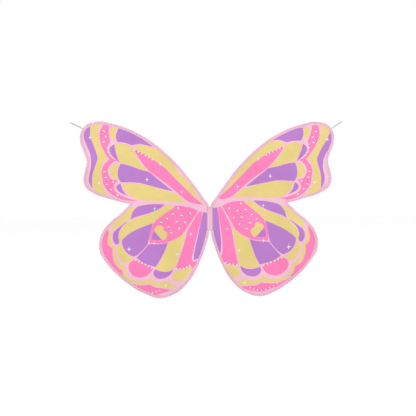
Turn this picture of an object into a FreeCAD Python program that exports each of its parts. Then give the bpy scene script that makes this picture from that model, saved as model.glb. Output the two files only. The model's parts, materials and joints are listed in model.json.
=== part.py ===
"""A child's fairy wings: two printed wings that fold like a book about a narrow fabric spine.

Each wing is a sandwich of show panel, wadding and lining. Two spring wires shape it, one round the
upper lobe and one round the lower lobe; they run back side by side through a channel between the
lobes, and their straight legs turn in the spine as hinge pins. A bias binding folded over each
lobe's edge carries its wire. A stuffed cushion on the back of the spine rests on the wearer, an
elastic loop on each side of it goes over a shoulder, and a thin elastic loop at each wing tip goes
over a finger.

Frame: X to the object's right as seen from the show side, which faces -Y, +Z up. The origin is the
middle of the cushion's back face, where it rests on the wearer. Millimetres.

Each wing is drawn once, on the +X side, as (outward, up) points in the wing plane, and mirrored.
It is modelled with the wing plane at y = 0 and moved to its place as it is written.
"""

import FreeCAD, Part
import math
import os
from collections import namedtuple

Vector = FreeCAD.Vector
Run = namedtuple("Run", "start end centre")         # a straight run, or an arc if it has a centre

# ---- driving dimensions -------------------------------------------------------------------------
# Wings
HALF_SPAN = 383.8           # spine middle to the outer edge of the wing tip
LOBE_RISE = 293.3           # spine middle to the top edge of the upper lobe
LOBE_DROP = 237.3           # spine middle to the bottom edge of the lower lobe
SATIN = 0.4                 # show panel and lining thickness
EDGE_GAP = 0.3              # binding's tunnel to the panels' edge
WADDING_SETBACK = 1.4       # panels' edge to the wadding

# Frame wires
WIRE_R = 0.8
WIRE_WEB = 0.3              # between the two wires' bores where they run side by side
LEG_GAP = 2.0               # between the upper and lower wires' legs inside the spine
TURNING_CLEARANCE = 0.05    # wire in its tunnel or ferrule, radially

# Ferrules, two on each wing, that hold the two wires together
FERRULE_LENGTH = 10.0
FERRULE_WALL = 0.22
FERRULE_GAP = 0.03          # ferrule to show panel and to lining

# Spine
SPINE_HALF = 33.6           # half the spine's height
HINGE_X = 4.5               # spine middle to each hinge leg
TUNNEL_WALL = 1.45          # fabric round every wire
SPINE_GAP = 0.3             # end of the spine to the bindings that turn about it
FRONT_STRIP = (5.2, 0.5)    # width and thickness of the strip that covers the front of the spine
STITCH = (3.0, 0.5, 0.3)    # length, width and height of a stitch on the strip
STITCH_PITCH = 4.6

# Binding
BINDING_CLOTH = 0.5
BINDING_REACH = 6.5         # wire centre to the binding's inner edge
BINDING_LIFT = 0.05         # binding flap to panel

# Cushion
CUSHION_HALF_HEIGHT = 33.0
CUSHION_FRONT_HALF = 5.0    # half width where it is sewn to the spine
CUSHION_HALF_WIDTH = 17.0   # half width at the side seam
CUSHION_BACK = (11.0, 26.0) # half width and half height of the flat back face
CUSHION_SEAM = 8.7          # spine's back to the side seam
CUSHION_THICK = 15.7
CUSHION_CORNER = 6.0
COVER = 1.0
PIPING_R = 1.1

# Shoulder straps
STRAP_R = 2.25
STRAP_SPLAY = 24.0          # degrees between the loop's plane and the wing plane
STRAP_TAB_LENGTH = 7.0      # seam to the elastic's end
STRAP_TAB_HEIGHT = 9.0
STRAP_TAB_ROOT = 0.8        # half thickness of a tab at the seam
STRAP_TAB_WALL = 0.75       # round the elastic
STRAP_GAP = 0.3             # piping to tab

# Finger loops
FINGER_R = 1.2
FINGER_CROSSING = (377.5, 273.0)    # where the loop crosses the outline's wire
FINGER_ANGLE = 28.0         # degrees above level
FINGER_SETBACK = 12.0       # wire to the tab's outer end
FINGER_TAB_LENGTH = 13.0
FINGER_TAB_WALL = 1.0       # tab beside, and over, the elastic
FINGER_TACK = (1.0, 0.35)   # width and height of the bar tack across the tab

# Care label on the left wing's lining: outward, up and thick
LABEL_SIZE = (24.0, 32.0, 0.3)
LABEL_CORNER = (34.0, -30.0)

# ---- chosen points ------------------------------------------------------------------------------
# Wire centrelines as drawn, on a wing whose outermost, top and bottom wire points are at DRAWN
DRAWN_SPAN, DRAWN_RISE, DRAWN_DROP = 381.5, 291.0, 235.0
DRAWN_SPINE_HALF, DRAWN_HINGE_X = 33.6, 4.5
FORE_LOBE = [
    (23, 66), (49, 103), (108, 174), (198, 247), (281, 282.5), (332, 291), (366, 280), (381, 257),
    (381.5, 233), (372, 205), (363, 176), (369, 143), (373, 120), (366, 97), (342, 80), (290, 62),
    (238, 50),
]
HIND_LOBE = [
    (14, -78), (34, -132), (65, -186), (106, -222), (152, -235), (198, -220), (254, -184),
    (306, -131), (327, -95), (328.5, -68), (320, -39), (294, -7), (262, 19), (241, 39.5),
]
NOTCH = (235, 44.6)         # the panels' corner between the lobes
CHANNEL = [(226, 48.6), (206, 49.5), (150, 53), (98, 51.5), (56, 44), (32, 37), (14, 30.5)]

# Shoulder loop in its own plane: (away from the seam, up)
STRAP_ROUTE = [
    (7, 22), (26, 22), (50, 18), (72, 4), (86, -18), (90, -48), (82, -78), (62, -98), (38, -94),
    (28, -70), (32, -48), (29, -32), (18, -24), (7, -24),
]
# Finger loop in its own plane: (outward from the tab, back from the wing plane)
FINGER_ROUTE = [
    (0, 3.8), (17, 3.8), (34, 4.4), (49.5, 4.6), (54.2, 10.2), (53.3, 17.4), (47.4, 21.7), (33, 18.4),
    (15, 6.4), (0, 6.4),
]
ARC_SHARE = 0.45            # of the shorter run beside a corner that its arc takes up

# ---- sizes that follow --------------------------------------------------------------------------
BORE_R = WIRE_R + TURNING_CLEARANCE
TUNNEL_R = BORE_R + TUNNEL_WALL
WADDING = 2 * (BORE_R + FERRULE_WALL + FERRULE_GAP)
WIRE_PITCH = 2 * BORE_R + WIRE_WEB
LINING_BACK = WADDING / 2 + SATIN                   # wing plane to the lining's back face
PANEL_INSET = TUNNEL_R + EDGE_GAP                   # wire centre to the panels' edge
WADDING_INSET = PANEL_INSET + WADDING_SETBACK
SEAM_Y = TUNNEL_R + CUSHION_SEAM
BACK_FACE = TUNNEL_R + CUSHION_THICK                # wing plane to the face on the wearer
STRAP_X = CUSHION_HALF_WIDTH + 2 * PIPING_R + STRAP_GAP + STRAP_TAB_ROOT
PLACE = Vector(0, -BACK_FACE, 0)

# ---- plane paths of straight runs and tangent arcs -----------------------------------------------


def minus(p, q):
    return (p[0] - q[0], p[1] - q[1])


def dot(p, q):
    return p[0] * q[0] + p[1] * q[1]


def unit(p):
    length = math.hypot(*p)
    return (p[0] / length, p[1] / length)


def step(p, direction, distance):
    return (p[0] + direction[0] * distance, p[1] + direction[1] * distance)


def left_of(direction):
    return (-direction[1], direction[0])


def arc_from(start, tangent, end):
    """The arc, or straight run, that leaves start along tangent and reaches end."""
    chord, normal = minus(end, start), left_of(tangent)
    sideways = dot(chord, normal)
    if abs(sideways) < 1e-9 * math.hypot(*chord):
        return Run(start, end, None)
    return Run(start, end, step(start, normal, dot(chord, chord) / (2 * sideways)))


def biarc(start, tangent, end, end_tangent):
    """Two arcs from start to end that keep both tangents."""
    chord, total = minus(end, start), (tangent[0] + end_tangent[0], tangent[1] + end_tangent[1])
    straightness = 2 * (1 - dot(tangent, end_tangent))
    along = dot(chord, total)
    if straightness < 1e-9:
        reach = dot(chord, chord) / (2 * along)
    else:
        reach = (math.sqrt(along**2 + straightness * dot(chord, chord)) - along) / straightness
    a, b = step(start, tangent, reach), step(end, end_tangent, -reach)
    middle = ((a[0] + b[0]) / 2, (a[1] + b[1]) / 2)
    back = arc_from(end, (-end_tangent[0], -end_tangent[1]), middle)
    return [arc_from(start, tangent, middle), Run(middle, end, back.centre)]


def smooth_path(points, first_tangent, last_tangent):
    """Two tangent arcs from each point to the next, with each inner tangent that of the circle
    through the point and its two neighbours."""
    tangents = [unit(first_tangent)]
    for before, here, after in zip(points, points[1:], points[2:]):
        a, b = minus(here, before), minus(after, here)
        tangents.append(unit(step((a[0] / dot(a, a), a[1] / dot(a, a)), b, 1 / dot(b, b))))
    tangents.append(unit(last_tangent))
    runs = []
    for i in range(len(points) - 1):
        runs += biarc(points[i], tangents[i], points[i + 1], tangents[i + 1])
    return runs


def tangent_at_start(run):
    if run.centre is None:
        return unit(minus(run.end, run.start))
    side = left_of(unit(minus(run.start, run.centre)))
    return side if dot(side, minus(run.end, run.start)) > 0 else (-side[0], -side[1])


def shifted(runs, distance):
    """The path moved to its own left, or to its right if distance is negative."""
    moved = []
    for run in runs:
        normal = left_of(tangent_at_start(run))
        if run.centre is None:
            moved.append(Run(step(run.start, normal, distance), step(run.end, normal, distance), None))
            continue
        arm = minus(run.start, run.centre)
        turn = -1 if dot(normal, arm) < 0 else 1
        scale = 1 + turn * distance / math.hypot(*arm)
        moved.append(
            Run(step(run.centre, arm, scale), step(run.centre, minus(run.end, run.centre), scale), run.centre)
        )
    return moved


def trimmed(run, distance):
    """The run with that length taken off its start."""
    tangent = tangent_at_start(run)
    if run.centre is None:
        return Run(step(run.start, tangent, distance), run.end, None)
    arm = minus(run.start, run.centre)
    radius = math.hypot(*arm)
    turn = distance / radius
    start = step(step(run.centre, arm, math.cos(turn)), tangent, radius * math.sin(turn))
    return Run(start, run.end, run.centre)


def reverse(runs):
    return [Run(run.end, run.start, run.centre) for run in reversed(runs)]


def closed(*paths):
    """The paths one after another, with straight runs across the gaps and back to the start."""
    runs = []
    for path in paths:
        for run in path:
            if runs and math.hypot(*minus(run.start, runs[-1].end)) > 1e-6:
                runs.append(Run(runs[-1].end, run.start, None))
            runs.append(run)
    runs.append(Run(runs[-1].end, runs[0].start, None))
    return runs


# ---- solids --------------------------------------------------------------------------------------


def at(p, y=0.0):
    return Vector(p[0], y, p[1])


def edge_of(run, y=0.0):
    if run.centre is None:
        return Part.LineSegment(at(run.start, y), at(run.end, y)).toShape()
    radius = math.hypot(*minus(run.start, run.centre))
    chord_middle = ((run.start[0] + run.end[0]) / 2, (run.start[1] + run.end[1]) / 2)
    middle = step(run.centre, unit(minus(chord_middle, run.centre)), radius)
    return Part.Arc(at(run.start, y), at(middle, y), at(run.end, y)).toShape()


def plate(closed_runs, low, high):
    """A flat sheet of that outline between two distances from the wing plane."""
    face = Part.Face(Part.Wire([edge_of(run, low) for run in closed_runs]))
    return face.extrude(Vector(0, high - low, 0))


def disc(centre, direction, radius):
    return Part.Face(Part.Wire(Part.makeCircle(radius, centre, direction)))


def polygon(points):
    return Part.Face(Part.makePolygon([*points, points[0]]))


def prism(points, direction):
    return polygon(points).extrude(direction)


def box(low, high):
    return Part.makeBox(*(high - low), low)


def solid_of(shape):
    """The solid inside a shape that a boolean or a sweep returned."""
    solids = shape.Solids
    if len(solids) != 1:
        raise ValueError("a piece came out as %d solids" % len(solids))
    return solids[0]


def tube(runs, radius):
    """A round rod along a plane path."""
    wire = Part.Wire([edge_of(run) for run in runs])
    return solid_of(wire.makePipe(disc(at(runs[0].start), at(tangent_at_start(runs[0])), radius)))


def cord(name, points, radius):
    """A round cord of straight runs and tangent arcs through space, and a line on its bends."""
    edges, here, bends = [], points[0], []
    for before, corner, after in zip(points, points[1:], points[2:]):
        back, on = before - corner, after - corner
        turn = math.pi - back.getAngle(on)
        reach = ARC_SHARE * min(back.Length, on.Length)
        start = corner + back.normalize() * reach
        end = corner + on.normalize() * reach
        bend = reach / math.tan(turn / 2)
        inward = (back + on).normalize()
        middle = corner + inward * (math.hypot(reach, bend) - bend)
        edges.append(Part.LineSegment(here, start).toShape())
        edges.append(Part.Arc(start, middle, end).toShape())
        bends.append(bend)
        here = end
    edges.append(Part.LineSegment(here, points[-1]).toShape())
    path = Part.Wire(edges)
    shape = solid_of(path.makePipe(disc(points[0], points[1] - points[0], radius)))
    share = shape.Volume / (math.pi * radius**2 * path.Length)
    radii = " ".join("%.1f" % bend for bend in bends)
    print("%s: length %.1f mm, volume / (section x length) %.4f, radii %s" % (name, path.Length, share, radii))
    return shape


# ---- the wing's paths ----------------------------------------------------------------------------


def between(value, drawn, real):
    """The value moved as two drawn values move to their real ones."""
    return real[0] + (value - drawn[0]) * (real[1] - real[0]) / (drawn[1] - drawn[0])


def across(u):
    return between(u, (DRAWN_HINGE_X, DRAWN_SPAN), (HINGE_X, HALF_SPAN - TUNNEL_R))


def upper(p):
    """A point as drawn, moved to the real span, spine and rise."""
    return (across(p[0]), between(p[1], (DRAWN_SPINE_HALF, DRAWN_RISE), (SPINE_HALF, LOBE_RISE - TUNNEL_R)))


def lower(p):
    """A point as drawn, moved to the real span and drop, with the notch where the upper lobe has it."""
    notch = upper(NOTCH)[1]
    return (across(p[0]), between(p[1], (NOTCH[1], -DRAWN_DROP), (notch, TUNNEL_R - LOBE_DROP)))


def channel_path():
    """Middle line between the two wires, from the notch to the spine, straight at both ends."""
    points = [upper(p) for p in CHANNEL]
    bend = smooth_path(points[1:-1], minus(points[1], points[0]), minus(points[-1], points[-2]))
    return [Run(points[0], points[1], None), *bend, Run(points[-2], points[-1], None)]


def lobe_path(spine_end, points, channel):
    """The wire's line from the spine's end round the lobe to its channel, and the part up to the
    last of the lobe's points, which the binding covers."""
    line = [spine_end, *points, channel[0].start]
    runs = smooth_path(line, (0, spine_end[1]), tangent_at_start(channel[0]))
    return runs, runs[: 2 * len(points)]


channel = channel_path()
fore_channel = shifted(channel, -WIRE_PITCH / 2)
hind_channel = shifted(channel, WIRE_PITCH / 2)
if fore_channel[0].start[1] < hind_channel[0].start[1]:
    raise ValueError("the upper lobe's wire has to run above the lower lobe's")
fore_run, fore_edge = lobe_path((HINGE_X, SPINE_HALF), [upper(p) for p in FORE_LOBE], fore_channel)
hind_run, hind_edge = lobe_path((HINGE_X, -SPINE_HALF), [lower(p) for p in HIND_LOBE], hind_channel)

# ---- wing pieces, on the +X side -----------------------------------------------------------------


def wing_outline():
    fore, hind = shifted(fore_edge, -PANEL_INSET), shifted(hind_edge, PANEL_INSET)
    corner = upper(NOTCH)
    to_corner = Run(fore[-1].end, corner, None)
    from_corner = Run(corner, hind[-1].end, None)
    return closed(fore, [to_corner, from_corner], reverse(hind))


def show_panel():
    return plate(wing_outline(), -LINING_BACK, -WADDING / 2)


def lining():
    return plate(wing_outline(), WADDING / 2, LINING_BACK)


def wadding(edge, channel_runs, side):
    """The wadding of one lobe, inside its wire and short of the channel."""
    around = shifted(edge, side * WADDING_INSET)
    along = shifted(channel_runs, side * WADDING_INSET)
    return plate(closed(around, along), -WADDING / 2, WADDING / 2)


def frame_wire(run, channel_runs):
    """One wire: its leg in the spine, its lobe and its share of the channel."""
    leg_end = (HINGE_X, math.copysign(LEG_GAP / 2, run[0].start[1]))
    return tube([Run(leg_end, run[0].start, None), *run, *channel_runs], WIRE_R)


def binding(edge, side):
    """A tunnel round the wire with a flap over each face of the panels."""
    first = trimmed(edge[0], SPINE_GAP)
    along = tangent_at_start(first)
    inward_direction = step((0, 0), left_of(along), -side)
    under, over = LINING_BACK + BINDING_LIFT, LINING_BACK + BINDING_LIFT + BINDING_CLOTH
    root, crest = math.sqrt(TUNNEL_R**2 - under**2), math.sqrt(TUNNEL_R**2 - over**2)

    def corner(inward, y):
        return at(step(first.start, inward_direction, inward), y)

    flap = [(crest, over), (BINDING_REACH, over), (BINDING_REACH, under), (root, under)]
    back = [corner(inward, y) for inward, y in flap]
    front = [corner(inward, -y) for inward, y in reversed(flap)]
    edges = [Part.LineSegment(a, b).toShape() for a, b in zip(back, back[1:])]
    edges.append(Part.Arc(back[-1], corner(TUNNEL_R, 0), front[0]).toShape())
    edges += [Part.LineSegment(a, b).toShape() for a, b in zip(front, front[1:])]
    edges.append(Part.Arc(front[-1], corner(-TUNNEL_R, 0), back[0]).toShape())
    outer = Part.Face(Part.Wire(edges))
    profile = outer.cut(disc(at(first.start), at(along), BORE_R)).Faces[0]
    path = Part.Wire([edge_of(run) for run in [first, *edge[1:]]])
    return solid_of(path.makePipe(profile))


def ferrule(run):
    """An oval crimp round both wires, at the middle of one straight run of the channel."""
    along = tangent_at_start(run)
    middle = ((run.start[0] + run.end[0]) / 2, (run.start[1] + run.end[1]) / 2)
    start = step(middle, along, -FERRULE_LENGTH / 2)
    length = at(along) * FERRULE_LENGTH
    centres = [at(step(start, left_of(along), side * WIRE_PITCH / 2)) for side in (-1, 1)]
    radius = BORE_R + FERRULE_WALL
    half = Vector(0, radius, 0)
    web = prism([centres[0] - half, centres[1] - half, centres[1] + half, centres[0] + half], length)
    body = web.fuse([disc(c, length, radius).extrude(length) for c in centres])
    return solid_of(body.cut([disc(c, length, BORE_R).extrude(length) for c in centres]).removeSplitter())


def ferrules():
    return Part.makeCompound([ferrule(channel[0]), ferrule(channel[-1])])


# ---- finger loop, on the +X wing -----------------------------------------------------------------
finger_direction = (math.cos(math.radians(FINGER_ANGLE)), math.sin(math.radians(FINGER_ANGLE)))
finger_start = step(upper(FINGER_CROSSING), finger_direction, -FINGER_SETBACK)
finger_top = FINGER_ROUTE[-1][1] + FINGER_R + FINGER_TAB_WALL
finger_half = FINGER_R + FINGER_TAB_WALL


def finger_tab():
    """The folded patch on the lining that holds both ends of the elastic."""
    side = left_of(finger_direction)
    inner = step(finger_start, finger_direction, -FINGER_TAB_LENGTH)
    corners = [
        step(finger_start, side, finger_half), step(inner, side, finger_half),
        step(inner, side, -finger_half), step(finger_start, side, -finger_half),
    ]
    return prism([at(p, LINING_BACK) for p in corners], Vector(0, finger_top - LINING_BACK, 0))


def finger_tack():
    """The bar tack across the middle of the tab."""
    width, height = FINGER_TACK
    side = left_of(finger_direction)
    middle = step(finger_start, finger_direction, -FINGER_TAB_LENGTH / 2)
    near, far = step(middle, finger_direction, width / 2), step(middle, finger_direction, -width / 2)
    corners = [
        step(near, side, finger_half), step(far, side, finger_half),
        step(far, side, -finger_half), step(near, side, -finger_half),
    ]
    return prism([at(p, finger_top) for p in corners], Vector(0, height, 0))


def finger_loop():
    points = [at(step(finger_start, finger_direction, out), back) for out, back in FINGER_ROUTE]
    return cord("finger loop", points, FINGER_R)


# ---- shoulder strap, on the +X side --------------------------------------------------------------
strap_angle = math.radians(STRAP_SPLAY)


def strap_point(out, sideways, up):
    """A point given from the strap's hinge line: along its plane, square to it, and up."""
    x = STRAP_X + out * math.cos(strap_angle) - sideways * math.sin(strap_angle)
    y = SEAM_Y + out * math.sin(strap_angle) + sideways * math.cos(strap_angle)
    return Vector(x, y, up)


def strap_tab(height):
    """A folded fabric tab from the cushion's seam to the elastic, rounded about the hinge line."""
    low, rise = height - STRAP_TAB_HEIGHT / 2, Vector(0, 0, STRAP_TAB_HEIGHT)
    wide = STRAP_R + STRAP_TAB_WALL
    corners = [(0, -STRAP_TAB_ROOT), (STRAP_TAB_LENGTH, -wide), (STRAP_TAB_LENGTH, wide), (0, STRAP_TAB_ROOT)]
    places = [strap_point(out, sideways, low) for out, sideways in corners]
    sides = [Part.LineSegment(a, b).toShape() for a, b in zip(places, places[1:])]
    round_end = Part.Arc(places[-1], strap_point(-STRAP_TAB_ROOT, 0, low), places[0]).toShape()
    return Part.Face(Part.Wire([*sides, round_end])).extrude(rise)


def strap_tabs():
    return Part.makeCompound([strap_tab(STRAP_ROUTE[0][1]), strap_tab(STRAP_ROUTE[-1][1])])


def strap():
    return cord("shoulder strap", [strap_point(out, 0, up) for out, up in STRAP_ROUTE], STRAP_R)


# ---- spine ---------------------------------------------------------------------------------------


def spine_tape():
    """A doubled tape with a tunnel up each side for the wires' legs."""
    bottom, rise = Vector(0, 0, -SPINE_HALF), Vector(0, 0, 2 * SPINE_HALF)
    legs = [Vector(side * HINGE_X, 0, -SPINE_HALF) for side in (-1, 1)]
    web = box(bottom - Vector(HINGE_X, TUNNEL_R, 0), bottom + Vector(HINGE_X, TUNNEL_R, 0) + rise)
    body = web.fuse([disc(leg, rise, TUNNEL_R).extrude(rise) for leg in legs])
    return solid_of(body.cut([disc(leg, rise, BORE_R).extrude(rise) for leg in legs]).removeSplitter())


def front_strip():
    width, thick = FRONT_STRIP
    return box(Vector(-width / 2, -TUNNEL_R - thick, -SPINE_HALF), Vector(width / 2, -TUNNEL_R, SPINE_HALF))


def front_stitches():
    """A row of stitches up the middle of the strip."""
    length, width, height = STITCH
    front = -TUNNEL_R - FRONT_STRIP[1]
    count = int((2 * SPINE_HALF - length) // STITCH_PITCH) + 1
    lowest = -(count - 1) * STITCH_PITCH / 2
    stitches = []
    for i in range(count):
        z = lowest + i * STITCH_PITCH
        stitches.append(
            box(Vector(-width / 2, front - height, z - length / 2), Vector(width / 2, front, z + length / 2))
        )
    return Part.makeCompound(stitches)


# ---- cushion -------------------------------------------------------------------------------------


def cushion_body(inset):
    """The cushion's shape, or the same shape that far inside it: crowned front and back from a
    seam that runs round it, with rounded corners."""
    back_half, back_height = CUSHION_BACK
    front, back = TUNNEL_R + inset, BACK_FACE - inset
    wide, tall = CUSHION_HALF_WIDTH - inset, CUSHION_HALF_HEIGHT - inset
    front_half = CUSHION_FRONT_HALF - inset
    front_tall = back_height - inset

    def crowned(seam, near, far, place, direction):
        points = [(-near, front), (near, front), (seam, SEAM_Y), (far, back), (-far, back), (-seam, SEAM_Y)]
        return prism([place(a, y) for a, y in points], direction)

    across_x = crowned(
        wide, front_half, back_half - inset,
        lambda a, y: Vector(a, y, -CUSHION_HALF_HEIGHT), Vector(0, 0, 2 * CUSHION_HALF_HEIGHT),
    )
    along_z = crowned(
        tall, front_tall, back_height - inset,
        lambda a, y: Vector(-CUSHION_HALF_WIDTH, y, a), Vector(2 * CUSHION_HALF_WIDTH, 0, 0),
    )
    rounded = plate(rounded_rectangle(wide, tall, CUSHION_CORNER - inset), 0, BACK_FACE)
    return solid_of(across_x.common([along_z]).common([rounded]))


def rounded_rectangle(half_width, half_height, corner):
    """A closed path round a rectangle centred on the spine."""
    runs = []
    quarters = [(1, 1), (1, -1), (-1, -1), (-1, 1)]
    for i, (side, top) in enumerate(quarters):
        centre = (side * (half_width - corner), top * (half_height - corner))
        upright, level = (centre[0] + side * corner, centre[1]), (centre[0], centre[1] + top * corner)
        start, end = (level, upright) if i % 2 == 0 else (upright, level)
        runs.append(Run(start, end, centre))
    return closed(runs)


def cushion_cover():
    return solid_of(cushion_body(0).cut(cushion_body(COVER)))


def cushion_piping():
    """A corded edge round the side seam."""
    half_width, half_height = CUSHION_HALF_WIDTH + PIPING_R, CUSHION_HALF_HEIGHT + PIPING_R
    runs = rounded_rectangle(half_width, half_height, CUSHION_CORNER + PIPING_R)
    ring = tube(runs, PIPING_R)
    ring.translate(Vector(0, SEAM_Y, 0))
    return ring


def care_label():
    wide, tall, thick = LABEL_SIZE
    u, v = LABEL_CORNER
    return box(Vector(-u - wide, LINING_BACK, v - tall), Vector(-u, LINING_BACK + thick, v))


# ---- the pieces, by name -------------------------------------------------------------------------
pieces = {
    "spine_tape": spine_tape(),
    "front_strip": front_strip(),
    "front_stitches": front_stitches(),
    "cushion_cover": cushion_cover(),
    "cushion_filling": cushion_body(COVER),
    "cushion_piping": cushion_piping(),
    "care_label": care_label(),
}

wing_pieces = {
    "show_panel": show_panel(),
    "lining": lining(),
    "fore_wadding": wadding(fore_edge, fore_channel, -1),
    "hind_wadding": wadding(hind_edge, hind_channel, 1),
    "fore_wire": frame_wire(fore_run, fore_channel),
    "hind_wire": frame_wire(hind_run, hind_channel),
    "fore_binding": binding(fore_edge, 1),
    "hind_binding": binding(hind_edge, -1),
    "wire_ferrules": ferrules(),
    "finger_tab": finger_tab(),
    "finger_tack": finger_tack(),
    "finger_loop": finger_loop(),
    "strap_tabs": strap_tabs(),
    "strap": strap(),
}
for name, shape in wing_pieces.items():
    pieces["right_" + name] = shape
    pieces["left_" + name] = shape.mirror(Vector(0, 0, 0), Vector(1, 0, 0))

os.makedirs("parts", exist_ok=True)
for name, shape in pieces.items():
    shape.translate(PLACE)
    if not shape.isValid():
        raise ValueError(name + " is not a valid shape")
    shape.exportStep("parts/" + name + ".step")
print("%d pieces" % len(pieces))
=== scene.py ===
import json
import math
import random
from collections import Counter, namedtuple

import bmesh
import bpy
import numpy as np
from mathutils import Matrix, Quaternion, Vector
from mathutils.geometry import delaunay_2d_cdt


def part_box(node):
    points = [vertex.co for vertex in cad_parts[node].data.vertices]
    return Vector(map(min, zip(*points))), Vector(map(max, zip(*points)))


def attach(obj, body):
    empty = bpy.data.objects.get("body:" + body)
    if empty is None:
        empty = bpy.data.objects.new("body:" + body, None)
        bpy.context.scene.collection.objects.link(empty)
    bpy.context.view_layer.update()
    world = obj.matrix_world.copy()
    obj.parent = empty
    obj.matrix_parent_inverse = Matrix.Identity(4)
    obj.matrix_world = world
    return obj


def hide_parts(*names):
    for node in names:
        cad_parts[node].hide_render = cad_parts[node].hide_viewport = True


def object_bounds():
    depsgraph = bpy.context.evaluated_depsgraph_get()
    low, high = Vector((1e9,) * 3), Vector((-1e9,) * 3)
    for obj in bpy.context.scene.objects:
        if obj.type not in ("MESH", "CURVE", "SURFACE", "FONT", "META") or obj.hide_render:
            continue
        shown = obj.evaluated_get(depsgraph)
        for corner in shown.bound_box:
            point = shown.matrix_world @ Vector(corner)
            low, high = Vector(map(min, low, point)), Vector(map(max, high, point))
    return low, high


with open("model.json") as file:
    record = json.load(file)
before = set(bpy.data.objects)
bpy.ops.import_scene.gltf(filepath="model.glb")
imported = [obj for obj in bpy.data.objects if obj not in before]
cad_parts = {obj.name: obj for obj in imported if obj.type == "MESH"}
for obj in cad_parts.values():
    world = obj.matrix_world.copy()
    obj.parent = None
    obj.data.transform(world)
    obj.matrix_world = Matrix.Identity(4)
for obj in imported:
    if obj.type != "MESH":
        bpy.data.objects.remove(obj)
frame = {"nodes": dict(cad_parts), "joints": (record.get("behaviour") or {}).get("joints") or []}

"""Printed fairy wings: the cloth, bindings, stitches, cushion, elastics and studio round the frame.

Metres, in the frame's own axes. Each wing is worked out once on the +X side as (outward, up) points
in the wing plane and mirrored for the other side. The artwork is drawn in millimetres, outward from
the middle and up from the bottom of the notch between the wings.
"""

bl_info = {
    "name": "Printed Fairy Wings",
    "version": (1, 0, 0),
    "blender": (4, 5, 0),
    "location": "3D View > Sidebar > Wings",
    "description": "Makes the cloth, trims, elastics and studio of a pair of printed fairy wings",
    "category": "Object",
}

MM = 0.001
CAD_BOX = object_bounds()
SIDES = {"right": 1, "left": -1}
JOINTS = {joint["name"]: joint for joint in frame["joints"]}

# ---- places read from the frame ------------------------------------------------------------------
PANEL_LOW, PANEL_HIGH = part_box("right_show_panel")
BINDING_LOW, BINDING_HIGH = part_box("right_fore_binding")
WING_Y = (BINDING_LOW[1] + BINDING_HIGH[1]) / 2
HINGE_X = abs(JOINTS["right_wing_fold"]["pos_m"][0])
TUNNEL_R = (BINDING_HIGH[1] - BINDING_LOW[1]) / 2
PANEL_INSET = PANEL_LOW[0] - HINGE_X
PANEL_FACE = WING_Y - PANEL_LOW[1]          # wing plane to the show panel's face
CLOTH = PANEL_HIGH[1] - PANEL_LOW[1]
SPINE_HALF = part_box("spine_tape")[1][2]

# ---- the artwork ---------------------------------------------------------------------------------
# How much further out, in millimetres, the print reaches near each lobe's edge, by the edge's
# direction from the lobe's middle in degrees
LOBE_MIDDLE = {"fore": (0.24, 0.15), "hind": (0.18, -0.09)}
HEM_REACH = {
    ("left", "fore"): [
        (-75, 2), (-60, 1), (-45, 2), (-30, -1), (-15, -1.5), (0, -2), (15, 2), (30, 1.5), (45, 2),
        (60, 3), (75, 3), (90, 1.5), (105, 3), (120, 1), (150, 4.5), (180, 4),
    ],
    ("right", "fore"): [
        (-80, 4), (-65, 1), (-50, 4), (-35, 3), (-20, 7), (-5, 8), (10, 7), (25, 5), (40, 3), (55, 2),
        (70, 0), (85, 3), (100, 3), (115, 1.5), (150, 4.5), (180, 4),
    ],
    ("left", "hind"): [
        (-180, 4.5), (-165, 8), (-150, 7), (-135, 8), (-120, 9), (-105, 4), (-90, 3), (-75, 0),
        (-60, -4), (-45, -1.5), (-30, -2), (-15, -2), (0, 0), (15, 2), (30, 7), (60, 4), (179, 4),
    ],
    ("right", "hind"): [
        (-180, 2), (-160, 4), (-145, 1), (-130, 1), (-115, -4), (-100, -3), (-85, -5), (-70, -4.5),
        (-55, -4.5), (-40, -3), (-25, -2), (-10, -2), (5, -1.5), (20, 3), (35, 0), (60, 3), (170, 2),
    ],
}
# A cell is strokes of points. Each stroke starts at a corner and runs smoothly to the next stroke's
# first point, and the last stroke runs back to the first corner.
Cell = namedtuple("Cell", "colour strokes")
ARTWORK_SHIFT = 5.1         # from the artwork's own middle to the spine's
ARTWORK_WIDTH = 0.973       # artwork to wing, across
# The print is cut a little differently for each wing: its shift outwards and upwards, in millimetres,
# as the shares of 1, v, v2, v3, u, uv, uv2, u2, u2v, u3
PRINT_SHIFT = {
    "left": (
        [1.48, -2.20, 1.60, -1.96, 2.72, 3.03, -0.88, -1.64, 0.49, -1.02],
        [3.48, -7.81, -2.65, 3.81, 3.92, 2.60, 1.31, -2.54, 5.29, -9.37],
    ),
    "right": (
        [-1.23, -3.47, -8.51, 26.58, 1.89, -20.60, 18.20, 0.41, 3.76, -2.99],
        [7.30, -1.13, 0.49, 6.38, -11.51, -8.36, 3.54, 7.11, -20.03, 5.63],
    ),
}

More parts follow.
